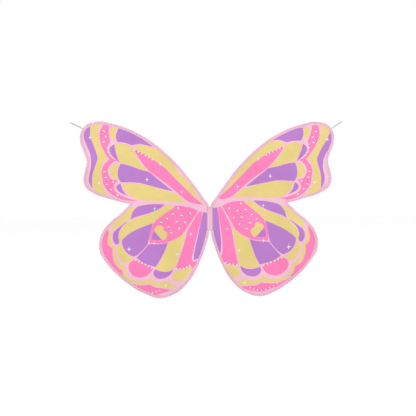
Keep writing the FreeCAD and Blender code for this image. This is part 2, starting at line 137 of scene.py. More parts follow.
CELLS = [
    # Upper lobe, from the outer edge inwards
    Cell("purple", [
        [(355, 243), (357, 229), (354, 209), (344, 183), (335, 155), (335, 146), (342, 127), (350, 101),
         (352, 78)],
        [(350, 59), (360, 73), (364, 90), (361, 107), (355, 132), (354, 149), (357, 166), (368, 192),
         (375, 212), (374, 226), (367, 237)],
    ]),
    Cell("yellow", [
        [(355, 243), (350, 247)],
        [(324, 250), (330, 237), (331, 220), (328, 200), (318, 172)],
        [(304, 149), (316, 139), (323, 121), (324, 101), (323, 81), (316, 59), (304, 44)],
        [(293, 36), (307, 40), (327, 46)],
        [(347, 53), (352, 78), (350, 101), (342, 127), (335, 146), (335, 155), (344, 183), (354, 209),
         (357, 229)],
    ]),
    Cell("pink", [
        [(318, 248), (328, 229), (329, 209), (323, 186), (310, 161)],
        [(299, 146), (307, 139), (318, 127), (323, 107), (321, 90), (317, 70), (304, 50), (284, 35),
         (262, 26), (233, 20)],
        [(208, 22), (233, 26), (262, 36), (279, 47), (286, 61), (282, 73)],
        [(273, 83), (293, 87), (301, 98), (304, 112), (300, 125), (288, 137)],
        [(277, 142), (293, 152), (304, 166), (304, 180), (299, 195)],
        [(296, 200), (300, 217), (301, 233)],
        [(300, 246)],
    ]),
    Cell("yellow", [
        [(294, 240)], [(276, 238), (280, 223)], [(277, 202), (287, 206), (296, 214), (299, 229)],
    ]),
    Cell("purple", [
        [(274, 237), (256, 233), (233, 226), (211, 214), (191, 202)],
        [(168, 184), (188, 190), (208, 194)],
        [(232, 189), (250, 195)],
        [(277, 199), (280, 217)],
    ]),
    Cell("purple", [
        [(283, 192), (282, 178), (277, 158)], [(268, 135), (279, 144), (290, 155), (299, 169), (297, 183)],
    ]),
    Cell("yellow", [
        [(279, 193), (256, 193), (236, 187)],
        [(228, 175), (211, 144)],
        [(182, 111), (211, 119), (233, 127)],
        [(267, 135), (277, 161), (282, 180)],
    ]),
    Cell("yellow", [
        [(269, 135), (274, 121), (276, 107)],
        [(270, 83), (284, 87), (294, 98), (299, 112), (293, 127), (282, 134)],
    ]),
    Cell("purple", [
        [(266, 134), (239, 128), (211, 118)],
        [(180, 110), (160, 93), (140, 77)],
        [(107, 50), (134, 56), (177, 67), (205, 74), (233, 76)],
        [(265, 76), (273, 90), (274, 112)],
    ]),
    Cell("purple", [
        [(266, 74), (259, 53), (248, 39)], [(231, 32), (250, 37), (270, 47), (279, 59), (277, 67)],
    ]),
    Cell("yellow", [
        [(262, 74), (233, 74), (191, 70), (148, 59)],
        [(100, 44), (83, 30)],
        [(66, 15), (83, 15), (120, 20), (177, 20), (216, 25)],
        [(233, 32), (250, 47)],
    ]),
    Cell("pink", [
        [(228, 180), (211, 172), (191, 162), (163, 145), (131, 121), (106, 95), (78, 67), (52, 39),
         (35, 22)],
        [(18, 5), (35, 8), (63, 18), (92, 42), (120, 67), (148, 88), (180, 112), (205, 141), (222, 169)],
    ]),
    Cell("yellow", [
        [(229, 184), (216, 192), (188, 189), (165, 180), (143, 169), (120, 144), (97, 112), (69, 84),
         (49, 56), (29, 22)],
        [(7, -4), (35, 22), (52, 39), (78, 67), (106, 95), (131, 121), (163, 145), (191, 162), (211, 172)],
    ]),
    # Lower lobe, from the top outwards and round
    Cell("purple", [
        [(215, 3), (193, 8), (165, 11)],
        [(132, 10), (146, -2), (170, -14), (193, -22), (217, -29)],
        [(236, -38), (234, -23), (227, -9)],
    ]),
    Cell("yellow", [
        [(217, 4), (231, -2), (250, -13), (272, -29)],
        [(291, -47)],
        [(291, -71), (276, -61), (257, -49)],
        [(241, -38), (236, -26), (228, -10)],
    ]),
    Cell("yellow", [
        [(132, 8)],
        [(101, 8), (108, 0), (129, -16), (156, -36), (170, -48), (193, -57), (217, -67), (241, -83),
         (260, -99)],
        [(264, -109)],
        [(270, -106), (272, -90), (267, -73), (255, -54)],
        [(236, -40), (217, -31), (182, -21), (151, -6)],
    ]),
    Cell("purple", [
        [(241, -42), (255, -48), (272, -61), (286, -73), (291, -85), (289, -102), (281, -113),
         (273, -111), (270, -102), (273, -92), (270, -73), (260, -57)],
    ]),
    Cell("purple", [
        [(169, -48), (172, -61), (177, -80), (182, -104)],
        [(184, -113), (198, -130), (217, -147)],
        [(227, -151), (243, -143), (255, -130), (262, -113)],
        [(264, -102), (253, -90), (227, -72), (198, -59)],
    ]),
    Cell("yellow", [
        [(276, -118), (276, -137), (269, -156), (257, -168), (246, -170)],
        [(227, -156), (241, -147), (255, -132)],
        [(263, -111)],
    ]),
    Cell("purple", [
        [(182, -113), (170, -112), (146, -112)],
        [(122, -107), (132, -132), (146, -161)],
        [(160, -183), (179, -177), (198, -170)],
        [(219, -154), (198, -132)],
    ]),
    Cell("pink", [
        [(223, -158), (238, -168), (243, -182), (238, -196), (227, -208), (208, -214), (186, -208),
         (172, -196)],
        [(166, -184), (180, -179), (199, -172)],
    ]),
    Cell("yellow", [
        [(122, -109), (92, -92)],
        [(66, -71), (73, -92), (80, -120), (89, -151), (103, -184), (111, -192), (125, -195), (146, -193)],
        [(160, -188), (146, -163), (132, -132)],
    ]),
    Cell("purple", [
        [(161, -188), (146, -194), (122, -195)],
        [(105, -188), (111, -201), (125, -213), (146, -218), (160, -213), (167, -201)],
    ]),
    Cell("pink", [
        [(30, -16)],
        [(21, -14), (22, -38), (28, -61), (35, -90), (42, -118), (47, -144), (49, -160), (46, -167),
         (34, -158)],
        [(41, -172), (54, -189)],
        [(54, -177), (75, -187)],
        [(100, -187), (87, -151), (77, -120), (70, -92), (63, -68), (49, -45), (35, -21)],
    ]),
    Cell("purple", [
        [(18, -17)],
        [(4, -21), (0.5, -28), (6, -66), (13, -99), (21, -132), (30, -151)],
        [(44, -163), (44, -147), (39, -118), (32, -85), (25, -49)],
    ]),
    Cell("yellow", [
        [(99, -192), (75, -190)],
        [(51, -180), (54, -192), (66, -210), (80, -222), (92, -226), (103, -222), (109, -213), (106, -201)],
    ]),
    Cell("pink", [
        [(101, 7), (75, 4), (51, -2)],
        [(32, -12), (39, -23), (54, -45), (66, -64), (80, -83), (101, -98), (122, -106), (146, -111)],
        [(179, -110), (180, -94), (176, -73), (170, -54), (158, -38), (132, -17), (108, 0)],
    ]),
    Cell("purple", [[(167, -71), (172, -85)], [(173, -99), (158, -101)], [(137, -100)]]),
    Cell("yellow", [
        [(166, -68), (158, -58), (146, -55), (138, -61)],
        [(137, -70), (127, -77), (126, -87), (132, -98), (139, -100), (153, -87)],
    ]),
    # Scalloped edge of the lower lobe
    Cell("pink", [
        [(302, -57), (314, -68), (321, -90), (324, -113), (320, -137), (312, -158), (298, -182),
         (279, -206)],
        [(257, -225), (253, -220), (260, -206)],
        [(261, -189), (276, -180), (286, -165), (291, -144)],
        [(291, -124), (304, -111), (306, -94), (302, -78)],
    ]),
    Cell("yellow", [
        [(300, -66), (302, -78), (306, -94), (304, -111)],
        [(291, -124), (291, -144), (286, -165), (276, -180)],
        [(261, -189), (260, -206), (253, -220), (241, -229), (217, -234), (193, -234)],
        [(174, -232), (163, -239), (146, -242), (127, -245), (111, -246)],
        [(96, -240), (113, -232), (122, -225), (146, -228), (163, -225)],
        [(172, -214), (193, -223), (217, -223), (241, -215), (250, -199)],
        [(251, -180), (264, -175), (276, -161), (281, -142)],
        [(281, -118), (292, -111), (296, -92), (295, -73)],
    ]),
    Cell("pink", [
        [(257, -225), (227, -247), (205, -257), (179, -264), (156, -263), (132, -257)],
        [(111, -249), (127, -247), (146, -244), (163, -241)],
        [(174, -234), (193, -236), (217, -236), (241, -231)],
    ]),
]

# Rows of small beads: the row's points and how many beads it has
BEAD_ROWS = [
    ([(223, 176), (208, 168), (190, 159), (171, 148)], 11),
    ([(221, -161), (205, -168), (188, -176), (171, -184)], 11),
    ([(96, -187), (80, -187), (65, -183), (51, -176)], 10),
    ([(219, -241), (200, -252), (180, -257), (162, -256), (146, -252)], 15),
]
# Drops, each half yellow and half purple
DROPS = [
    (317, 229), (312, 213), (315, 197), (306, 180), (300, 164), (310, 90), (290, 78), (306, 69),
    (296, 53), (277, 37), (312, 108), (95, -2), (109, -21), (83, -26), (58, -19), (96, -45), (74, -47),
    (145, -47), (122, -61), (92, -65), (113, -79), (128, -35),
]
# Four-pointed sparkles: place and reach
SPARKLES = [
    ((147, 135), 5), ((187, 86), 5.5), ((82, 49), 4.5), ((331, 76), 5), ((357, 212), 5), ((293, 243), 3.5),
    ((241, -128), 6.5), ((164, -4), 4.5), ((165, -110), 5), ((95, -144), 5), ((54, -83), 4.5),
    ((128, -237), 5),
]

# ---- the cords' routes, as the frame has them, in metres -----------------------------------------
# Shoulder elastic in its own plane: (away from the seam, up)
STRAP_ROUTE = [
    (0.007, 0.022), (0.026, 0.022), (0.050, 0.018), (0.072, 0.004), (0.086, -0.018), (0.090, -0.048),
    (0.082, -0.078), (0.062, -0.098), (0.038, -0.094), (0.028, -0.070), (0.032, -0.048),
    (0.029, -0.032), (0.018, -0.024), (0.007, -0.024),
]
STRAP_SPLAY = math.radians(24.0)
# Finger elastic in its own plane: (outward from the tab, back from the wing plane)
FINGER_ROUTE = [
    (0.0, 0.0038), (0.017, 0.0038), (0.034, 0.0044), (0.0495, 0.0046), (0.0542, 0.0102),
    (0.0533, 0.0174), (0.0474, 0.0217), (0.033, 0.0184), (0.015, 0.0064), (0.0, 0.0064),
]
FINGER_ANGLE = math.radians(28.0)
FINGER_START = (0.3669, 0.26737)
FINGER_LEAN = {"right": math.radians(5.0), "left": math.radians(-1.5)}      # of its far end
FINGER_LEAN_START = 0.015


# ---- settings a user would change ----------------------------------------------------------------


class WingClothSettings(bpy.types.PropertyGroup):
    """The printed cloth of the wings."""

    vein: bpy.props.FloatProperty(
        name="Vein", description="Width of the printed line round each cell", default=0.0010, unit="LENGTH"
    )
    puff: bpy.props.FloatProperty(
        name="Puff", description="How far the cloth stands off its wadding", default=0.0009, unit="LENGTH"
    )
    fold: bpy.props.FloatProperty(
        name="Fold", description="Height of the tension folds", default=0.0006, unit="LENGTH"
    )
    purple: bpy.props.FloatVectorProperty(
        name="Purple", description="Purple cells", subtype="COLOR", size=3, default=(0.349, 0.138, 0.427)
    )
    yellow: bpy.props.FloatVectorProperty(
        name="Yellow", description="Yellow cells", subtype="COLOR", size=3, default=(0.572, 0.454, 0.153)
    )
    pink: bpy.props.FloatVectorProperty(
        name="Pink", description="Hot pink cells", subtype="COLOR", size=3, default=(0.706, 0.150, 0.349)
    )
    vein_pink: bpy.props.FloatVectorProperty(
        name="Vein pink", description="Lines between the cells", subtype="COLOR", size=3,
        default=(0.66, 0.318, 0.481),
    )
    border_pink: bpy.props.FloatVectorProperty(
        name="Border pink", description="Glittered border", subtype="COLOR", size=3,
        default=(0.628, 0.363, 0.454),
    )


class WingTrimSettings(bpy.types.PropertyGroup):
    """The bindings, stitches and small sewn parts."""

    stitch: bpy.props.FloatProperty(
        name="Stitch", description="Spacing of the edge stitches", default=0.0036, unit="LENGTH"
    )
    thread: bpy.props.FloatVectorProperty(
        name="Thread", description="Sewing thread", subtype="COLOR", size=3, default=(0.50, 0.22, 0.34)
    )


class WingElasticSettings(bpy.types.PropertyGroup):
    """The shoulder and finger elastics."""

    shoulder: bpy.props.FloatProperty(
        name="Shoulder", description="Diameter of the shoulder elastic", default=0.0045, unit="LENGTH"
    )
    finger: bpy.props.FloatProperty(
        name="Finger", description="Diameter of the finger elastic", default=0.0024, unit="LENGTH"
    )
    grey: bpy.props.FloatVectorProperty(
        name="Grey", description="Finger elastic", subtype="COLOR", size=3, default=(0.36, 0.36, 0.37)
    )


class WingStudioSettings(bpy.types.PropertyGroup):
    """The camera, the floor and the lights."""

    distance: bpy.props.FloatProperty(
        name="Distance", description="Camera to the wings", default=1.7, unit="LENGTH"
    )
    turn: bpy.props.FloatProperty(
        name="Turn", description="Camera's turn towards the left wing", default=math.radians(4.0),
        subtype="ANGLE",
    )
    roll: bpy.props.FloatProperty(
        name="Roll", description="Lean of the picture", default=math.radians(-0.54), subtype="ANGLE"
    )
    width: bpy.props.FloatProperty(
        name="Width", description="Width that the picture takes in at the wings", default=1.255, unit="LENGTH"
    )


# ---- plane shapes --------------------------------------------------------------------------------


def smooth_line(points, spacing, smoothing=8):
    """A curve through the points (centripetal Catmull-Rom), evenly spaced along its length."""
    p = np.asarray(points, float)
    if len(p) == 2:
        dense = p
    else:
        padded = np.vstack([2 * p[0] - p[1], p, 2 * p[-1] - p[-2]])
        dense = [p[0]]
        for a, b, c, d in zip(padded, padded[1:], padded[2:], padded[3:]):
            t1 = np.linalg.norm(b - a) ** 0.5
            t2 = t1 + np.linalg.norm(c - b) ** 0.5
            t3 = t2 + np.linalg.norm(d - c) ** 0.5
            for i in range(1, smoothing + 1):
                t = t1 + (t2 - t1) * i / smoothing
                ab = a + (b - a) * t / t1
                bc = b + (c - b) * (t - t1) / (t2 - t1)
                cd = c + (d - c) * (t - t2) / (t3 - t2)
                abc = ab + (bc - ab) * t / t2
                bcd = bc + (cd - bc) * (t - t1) / (t3 - t1)
                dense.append(abc + (bcd - abc) * (t - t1) / (t2 - t1))
        dense = np.array(dense)
    steps = np.linalg.norm(np.diff(dense, axis=0), axis=1)
    along = np.concatenate([[0], np.cumsum(steps)])
    count = max(2, int(round(along[-1] / spacing)) + 1)
    places = np.linspace(0, along[-1], count)
    return np.column_stack([np.interp(places, along, dense[:, k]) for k in range(dense.shape[1])])


def closed_curve(strokes, spacing):
    """The strokes' closed outline, with a corner where each stroke starts."""
    loop = []
    for i, stroke in enumerate(strokes):
        to = strokes[(i + 1) % len(strokes)][0]
        if len(stroke) == 1 and tuple(stroke[0]) == tuple(to):
            continue
        loop.append(smooth_line([*stroke, to], spacing)[:-1])
    return np.vstack(loop)


def signed_area(loop):
    x, y = loop[:, 0], loop[:, 1]
    return 0.5 * np.sum(x * np.roll(y, -1) - np.roll(x, -1) * y)


def inset_loop(loop, distance):
    """The loop moved inwards, with its corners held to a modest mitre."""
    if signed_area(loop) < 0:
        loop = loop[::-1]
    back, on = loop - np.roll(loop, 1, axis=0), np.roll(loop, -1, axis=0) - loop
    back /= np.linalg.norm(back, axis=1)[:, None] + 1e-12
    on /= np.linalg.norm(on, axis=1)[:, None] + 1e-12
    normal = np.column_stack([-(back[:, 1] + on[:, 1]), back[:, 0] + on[:, 0]])
    size = np.linalg.norm(normal, axis=1)[:, None] + 1e-9
    mitre = np.minimum(2 / size, 2.4)
    return loop + normal / size * mitre * distance


def inside(loop, points):
    """Which points lie inside the loop, by crossings."""
    x, y = points[:, 0], points[:, 1]
    hit = np.zeros(len(points), bool)
    low, high = loop.min(axis=0), loop.max(axis=0)
    near = np.where((x >= low[0]) & (x <= high[0]) & (y >= low[1]) & (y <= high[1]))[0]
    if not len(near):
        return hit
    px, py = x[near], y[near]
    crossings = np.zeros(len(near), bool)
    for (ax, ay), (bx, by) in zip(loop, np.roll(loop, -1, axis=0)):
        if ay == by:
            continue
        spans = (ay > py) != (by > py)
        crossings ^= spans & (px < (bx - ax) * (py - ay) / (by - ay) + ax)
    hit[near] = crossings
    return hit


def on_wing(points, wing):
    """Artwork points as points of the left or right wing, in metres."""
    p = np.asarray(points, float)
    places = np.column_stack([(p[:, 0] + ARTWORK_SHIFT) * ARTWORK_WIDTH * MM, p[:, 1] * MM + SPINE_HALF])
    u, v = places[:, 0] / 0.19 - 1, places[:, 1] / 0.26
    terms = np.column_stack([u**i * v**j for i in range(4) for j in range(4 - i)])
    return reached_to_hem(places + terms @ np.array(PRINT_SHIFT[wing]).T * MM, wing)


# ---- the wing's outline, read from the frame -----------------------------------------------------


def front_loop(node):
    """The outline of a flat node's front face as (outward, up), from the spine's top outwards."""
    mesh = frame["nodes"][node].data
    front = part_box(node)[0][1]
    uses, places = Counter(), {}
    for polygon in mesh.polygons:
        corners = [mesh.vertices[i].co for i in polygon.vertices]
        if any(abs(corner.y - front) > 1e-6 for corner in corners):
            continue
        keys = [(round(corner.x, 6), round(corner.z, 6)) for corner in corners]
        for a, b in zip(keys, keys[1:] + keys[:1]):
            uses[frozenset((a, b))] += 1
    for edge, count in uses.items():
        if count == 1:
            a, b = tuple(edge)
            places.setdefault(a, []).append(b)
            places.setdefault(b, []).append(a)
    inner = min(x for x, _ in places)
    start = max((p for p in places if p[0] < inner + 1e-5), key=lambda p: p[1])
    loop, here = [start], max(places[start], key=lambda p: p[1])
    while here != start:
        loop.append(here)
        onward = [p for p in places[here] if p != loop[-2]]
        here = onward[0]
    return np.array(loop)


def outline_parts():
    """The panel's edge as two lines, one round each lobe, that meet at the notch."""
    loop = front_loop("right_show_panel")
    back, on = loop - np.roll(loop, 1, axis=0), np.roll(loop, -1, axis=0) - loop
    turn = back[:, 0] * on[:, 1] - back[:, 1] * on[:, 0]
    sharp = turn / (np.linalg.norm(back, axis=1) * np.linalg.norm(on, axis=1))
    outer = loop[:, 0] > loop[:, 0].max() / 2
    notch = int(np.argmax(np.where(outer, sharp, -9)))
    return loop[: notch + 1], loop[notch:]


FORE_EDGE, HIND_EDGE = outline_parts()
NOTCH = FORE_EDGE[-1]
EDGE_SPACING = 0.003


def lobe_line(edge, spacing):
    """One lobe's panel edge, smoothed but for its last straight step into the notch."""
    if np.allclose(edge[-1], NOTCH):
        return np.vstack([smooth_line(edge[:-1], spacing, 4), NOTCH])
    return np.vstack([NOTCH, smooth_line(edge[1:], spacing, 4)])


def panel_outline(spacing):
    """The whole closed edge of a panel."""
    fore, hind = lobe_line(FORE_EDGE, spacing), lobe_line(HIND_EDGE, spacing)
    inner = smooth_line([hind[-1], fore[0]], spacing)
    return np.vstack([fore, hind[1:], inner[1:-1]])


OUTLINE = panel_outline(EDGE_SPACING)
FORE_COUNT = len(lobe_line(FORE_EDGE, EDGE_SPACING))


def distance_to(loop, points):
    """Each point's distance to the nearest of the loop's points."""
    nearest = np.full(len(points), np.inf)
    for block in range(0, len(loop), 200):
        part = loop[block : block + 200]
        gaps = points[:, None, :] - part[None, :, :]
        nearest = np.minimum(nearest, np.sqrt((gaps**2).sum(axis=2)).min(axis=1))
    return nearest


def soft_step(value):
    t = np.clip(value, 0, 1)
    return t * t * (3 - 2 * t)


HEM_HOLD, HEM_FADE = 0.005, 0.013       # full push up to here, and none this much further in


def reached_to_hem(points, wing):
    """Points of the print moved towards the nearest edge of the wing, the more the nearer they are."""
    gaps = OUTLINE[None, :, :] - points[:, None, :]
    far = np.sqrt((gaps**2).sum(axis=2))
    nearest = far.argmin(axis=1)
    edge = far[np.arange(len(points)), nearest]
    towards = gaps[np.arange(len(points)), nearest] / np.maximum(edge, 1e-6)[:, None]
    moved = points.copy()
    for lobe, chosen in (("fore", nearest < FORE_COUNT), ("hind", nearest >= FORE_COUNT)):
        middle = np.array(LOBE_MIDDLE[lobe])
        reach = OUTLINE[nearest] - middle
        angle = np.degrees(np.arctan2(reach[:, 1], reach[:, 0]))
        turns, sizes = zip(*HEM_REACH[(wing, lobe)])
        push = np.interp(angle, turns, sizes) * MM * (1 - soft_step((edge - HEM_HOLD) / HEM_FADE))
        chosen = chosen & inside(OUTLINE, points) & (edge > 0.0004)
        moved[chosen] += (towards * push[:, None])[chosen]
    return moved


def cloth_relief(points, puff, fold, phase):
    """How far the cloth stands out at each wing point: a soft puff inside the edge, and folds that
    fan out of the notch and out of the spine."""
    edge = distance_to(OUTLINE, points)
    held = soft_step((edge - 0.0075) / 0.024)
    height = puff * held
    for centre, count, reach, share in (
        (NOTCH, 11, 0.11, 1.0), ((0.0, SPINE_HALF), 17, 0.10, 0.7), ((0.0, -SPINE_HALF), 15, 0.12, 0.6)
    ):
        gap = points - np.asarray(centre)
        far = np.hypot(gap[:, 0], gap[:, 1])
        angle = np.arctan2(gap[:, 1], gap[:, 0])
        wave = np.sin(angle * count + phase + 1.3 * np.sin(angle * 3 + phase))
        fade = soft_step(far / 0.03) * np.exp(-((far / reach) ** 2))
        height = height + fold * share * held * fade * (0.5 + 0.5 * wave)
    broad = np.sin(points[:, 0] * 27 + phase) * np.sin(points[:, 1] * 31 - phase) + 1
    return height + fold * 0.45 * held * broad


# ---- meshes --------------------------------------------------------------------------------------


def wing_vertex(u, v, y, side):
    return (side * u, y, v)


def shade_smooth(piece):
    piece.data.polygons.foreach_set("use_smooth", [True] * len(piece.data.polygons))


def reshape(piece, points):
    piece.data.vertices.foreach_set("co", np.array(points).ravel())
    piece.data.update()


def rows_joined(rows, width, closed=True, first=0):
    """Quads between rows of points, with each row joined into a ring if closed."""
    quads = []
    for row in range(first, first + (rows - 1) * width, width):
        for k in range(width if closed else width - 1):
            a, b = row + k, row + (k + 1) % width
            quads.append((a, b, b + width, a + width))
    return quads


def end_faces(rows, width, first=0):
    """The faces that close the first and last rings."""
    last = first + (rows - 1) * width
    return [tuple(first + k for k in reversed(range(width))), tuple(last + k for k in range(width))]


def object_from(name, vertices, faces, body, materials):
    """A smooth-shaded piece from vertices and faces in the frame, riding on a body."""
    mesh = bpy.data.meshes.new(name)
    mesh.from_pydata([tuple(v) for v in vertices], [], [tuple(f) for f in faces])
    mesh.update()
    piece = bpy.data.objects.new(name, mesh)
    bpy.context.collection.objects.link(piece)
    for material in materials:
        mesh.materials.append(material)
    shade_smooth(piece)
    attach(piece, body)
    return piece


def select_only(piece):
    bpy.ops.object.select_all(action="DESELECT")
    piece.select_set(True)
    bpy.context.view_layer.objects.active = piece


def recalculate(piece):
    """Merges doubles and turns the faces outwards."""
    select_only(piece)
    bpy.ops.object.mode_set(mode="EDIT")
    bpy.ops.mesh.select_all(action="SELECT")
    bpy.ops.mesh.remove_doubles(threshold=1e-6)
    bpy.ops.mesh.normals_make_consistent(inside=False)
    bpy.ops.object.mode_set(mode="OBJECT")


def apply_modifiers(piece):
    select_only(piece)
    for modifier in list(piece.modifiers):
        bpy.ops.object.modifier_apply(modifier=modifier.name)


def thicken(piece, thickness, offset):
    modifier = piece.modifiers.new("Thickness", "SOLIDIFY")
    modifier.thickness = thickness
    modifier.offset = offset
    modifier.use_even_offset = False
    apply_modifiers(piece)


# ---- materials -----------------------------------------------------------------------------------


def node(tree, kind, values=None, **settings):
    """A shader node with its settings, and its inputs set or linked."""
    made = tree.nodes.new(kind)
    for key, value in settings.items():
        setattr(made, key, value)
    for key, value in (values or {}).items():
        if isinstance(value, bpy.types.NodeSocket):
            tree.links.new(value, made.inputs[key])
        else:
            made.inputs[key].default_value = value
    return made


def shared_group(name, inputs, outputs):
    """An empty node group with float inputs and float outputs, and its two end nodes."""
    group = bpy.data.node_groups.new(name, "ShaderNodeTree")
    for label, default in inputs:
        socket = group.interface.new_socket(label, in_out="INPUT", socket_type="NodeSocketFloat")
        socket.default_value = default
    for label in outputs:
        group.interface.new_socket(label, in_out="OUTPUT", socket_type="NodeSocketFloat")
    return group, group.nodes.new("NodeGroupInput"), group.nodes.new("NodeGroupOutput")


def maths(tree, operation, a, b=0.0, c=0.0):
    return node(tree, "ShaderNodeMath", {0: a, 1: b, 2: c}, operation=operation).outputs[0]


def ranged(tree, value, low, high, out_low, out_high):
    values = {"Value": value, "From Min": low, "From Max": high, "To Min": out_low, "To Max": out_high}
    return node(tree, "ShaderNodeMapRange", values).outputs["Result"]


def satin_group():
    """Satin threads: a fine lengthways float, faint creases and a slow change of tone."""
    group, inner, outer = shared_group(
        "satin threads", [("Threads", 1.0), ("Tone", 1.0)], ["Tone", "Height", "Gloss"]
    )
    place = node(group, "ShaderNodeTexCoord").outputs["Object"]
    floats = node(group, "ShaderNodeMapping", {"Vector": place, "Scale": (1700.0, 1700.0, 210.0)}).outputs[0]
    fine = node(group, "ShaderNodeTexNoise", {"Vector": floats, "Scale": 1.0, "Detail": 2.0}).outputs["Fac"]
    slow = node(group, "ShaderNodeTexNoise", {"Vector": place, "Scale": 11.0, "Detail": 2.0}).outputs["Fac"]
    crease = node(group, "ShaderNodeTexNoise", {"Vector": place, "Scale": 46.0, "Detail": 3.0}).outputs["Fac"]
    wide = ranged(group, slow, 0.3, 0.7, -0.055, 0.055)
    thin = ranged(group, fine, 0.25, 0.75, -0.05, 0.05)
    mixed = maths(group, "ADD", wide, maths(group, "MULTIPLY", thin, inner.outputs["Threads"]))
    tone = maths(group, "MULTIPLY_ADD", mixed, inner.outputs["Tone"], 1.0)
    group.links.new(tone, outer.inputs["Tone"])
    creases = maths(group, "MULTIPLY", crease, 1.6)
    height = maths(group, "MULTIPLY_ADD", fine, inner.outputs["Threads"], creases)
    group.links.new(height, outer.inputs["Height"])
    group.links.new(ranged(group, crease, 0.3, 0.7, 0.34, 0.46), outer.inputs["Gloss"])
    return group


def glitter_group():
    """Fine glitter: a few bright flecks among many dull ones."""
    group, inner, outer = shared_group("glitter", [("Amount", 0.1), ("Scale", 520.0)], ["Flecks"])
    place = node(group, "ShaderNodeTexCoord").outputs["Object"]
    cells = node(group, "ShaderNodeTexVoronoi", {"Vector": place, "Scale": inner.outputs["Scale"]})
    chance = node(group, "ShaderNodeSeparateColor", {"Color": cells.outputs["Color"]}).outputs[0]
    chosen = maths(group, "GREATER_THAN", chance, maths(group, "SUBTRACT", 1.0, inner.outputs["Amount"]))
    dot = maths(group, "LESS_THAN", cells.outputs["Distance"], 0.42)
    group.links.new(maths(group, "MULTIPLY", chosen, dot), outer.inputs["Flecks"])
    return group


def braid_group():
    """A round braid: diagonal strands both ways, on the cord's own map. Its tone is painted shade and light:
    darker in the grooves between strands, a little lighter on their crests.
    """
    group, inner, outer = shared_group("braid", [("Pitch", 1.0)], ["Height", "Tone"])
    place = node(group, "ShaderNodeUVMap", uv_map="along").outputs[0]
    parts = node(group, "ShaderNodeSeparateXYZ", {"Vector": place})
    along = maths(group, "MULTIPLY", parts.outputs[0], inner.outputs["Pitch"])
    strands = []
    for lean in (6.0, -6.0):
        phase = maths(group, "MULTIPLY_ADD", parts.outputs[1], lean, along)
        strands.append(maths(group, "SINE", maths(group, "MULTIPLY", phase, 2 * math.pi)))
    top = maths(group, "MAXIMUM", *strands)
    group.links.new(top, outer.inputs["Height"])
    # Painted shade: the tone follows the strand height, darker in the grooves and a little lighter on the
    # crests
    group.links.new(ranged(group, top, -0.3, 1.0, 0.78, 1.06), outer.inputs["Tone"])
    return group


def felt_group():
    """Matted fibres, for wadding, filling and the label's tape."""
    group, inner, outer = shared_group("matted fibres", [("Scale", 900.0)], ["Tone", "Height"])
    place = node(group, "ShaderNodeTexCoord").outputs["Object"]
    values = {"Vector": place, "Scale": inner.outputs["Scale"], "Detail": 3.0, "Distortion": 1.5}
    fibre = node(group, "ShaderNodeTexNoise", values).outputs["Fac"]
    group.links.new(ranged(group, fibre, 0.3, 0.7, 0.86, 1.04), outer.inputs["Tone"])
    group.links.new(fibre, outer.inputs["Height"])
    return group


GROUPS = {}


def use_group(tree, name, **values):
    made = node(tree, "ShaderNodeGroup")
    made.node_tree = GROUPS[name]
    for key, value in values.items():
        made.inputs[key].default_value = value
    return made


def toned(tree, colour, tone):
    """The colour, lighter or darker by the tone."""
    scaled = node(tree, "ShaderNodeVectorMath", {0: colour, "Scale": tone}, operation="SCALE")
    return scaled.outputs[0]


def new_material(name, **constants):
    """A material with one Principled shader, its plain values on its own sockets."""
    material = bpy.data.materials.new(name)
    material.use_nodes = True
    shader = material.node_tree.nodes["Principled BSDF"]
    for key, value in constants.items():
        shader.inputs[key.replace("_", " ")].default_value = value
    return material, material.node_tree, shader


def bumped(tree, shader, height, depth):
    bump = node(tree, "ShaderNodeBump", {"Height": height, "Distance": depth, "Strength": 1.0})
    tree.links.new(bump.outputs["Normal"], shader.inputs["Normal"])


def satin(name, colour, tone=1.0, flecks=0.0, fleck_scale=1300.0, sheen=0.25):
    """Satin cloth, with glitter if flecks is more than nothing."""
    material, tree, shader = new_material(name, Sheen_Weight=sheen, Sheen_Roughness=0.4, IOR=1.42)
    weave = use_group(tree, "satin", Tone=tone)
    base = toned(tree, colour, weave.outputs["Tone"])
    gloss = weave.outputs["Gloss"]
    if flecks:
        glitter = use_group(tree, "glitter", Amount=flecks, Scale=fleck_scale)
        mask = glitter.outputs["Flecks"]
        mix = node(tree, "ShaderNodeMix", {0: mask, 6: base, 7: (1.0, 0.93, 0.97, 1.0)}, data_type="RGBA")
        base = mix.outputs[2]
        gloss = ranged(tree, mask, 0.0, 1.0, gloss, 0.2)
        tree.links.new(maths(tree, "MULTIPLY", mask, 0.35), shader.inputs["Metallic"])
    tree.links.new(base, shader.inputs["Base Color"])
    tree.links.new(gloss, shader.inputs["Roughness"])
    bumped(tree, shader, weave.outputs["Height"], 0.00006)
    return material


def felted(name, colour, scale, depth=0.0002):
    material, tree, shader = new_material(name, Roughness=0.9)
    fibres = use_group(tree, "felt", Scale=scale)
    tree.links.new(toned(tree, colour, fibres.outputs["Tone"]), shader.inputs["Base Color"])
    bumped(tree, shader, fibres.outputs["Height"], depth)
    return material


def braided(name, colour, pitch, depth):
    material, tree, shader = new_material(name, Roughness=0.62, Sheen_Weight=0.2)
    braid = use_group(tree, "braid", Pitch=pitch)
    # The colour is scaled by the braid's tone: painted shade in the grooves between strands, a faint painted
    # highlight on their crests
    tree.links.new(toned(tree, colour, braid.outputs["Tone"]), shader.inputs["Base Color"])
    bumped(tree, shader, braid.outputs["Height"], depth)
    return material


def drawn_wire(name, colour, scale):
    """Bright wire with fine draw marks along it."""
    material, tree, shader = new_material(name, Metallic=1.0)
    place = node(tree, "ShaderNodeTexCoord").outputs["Object"]
    marks = node(tree, "ShaderNodeTexNoise", {"Vector": place, "Scale": scale, "Detail": 3.0}).outputs["Fac"]
    tone = ranged(tree, marks, 0.3, 0.7, 0.85, 1.05)
    tree.links.new(toned(tree, colour, tone), shader.inputs["Base Color"])
    tree.links.new(ranged(tree, marks, 0.3, 0.7, 0.22, 0.42), shader.inputs["Roughness"])
    return material


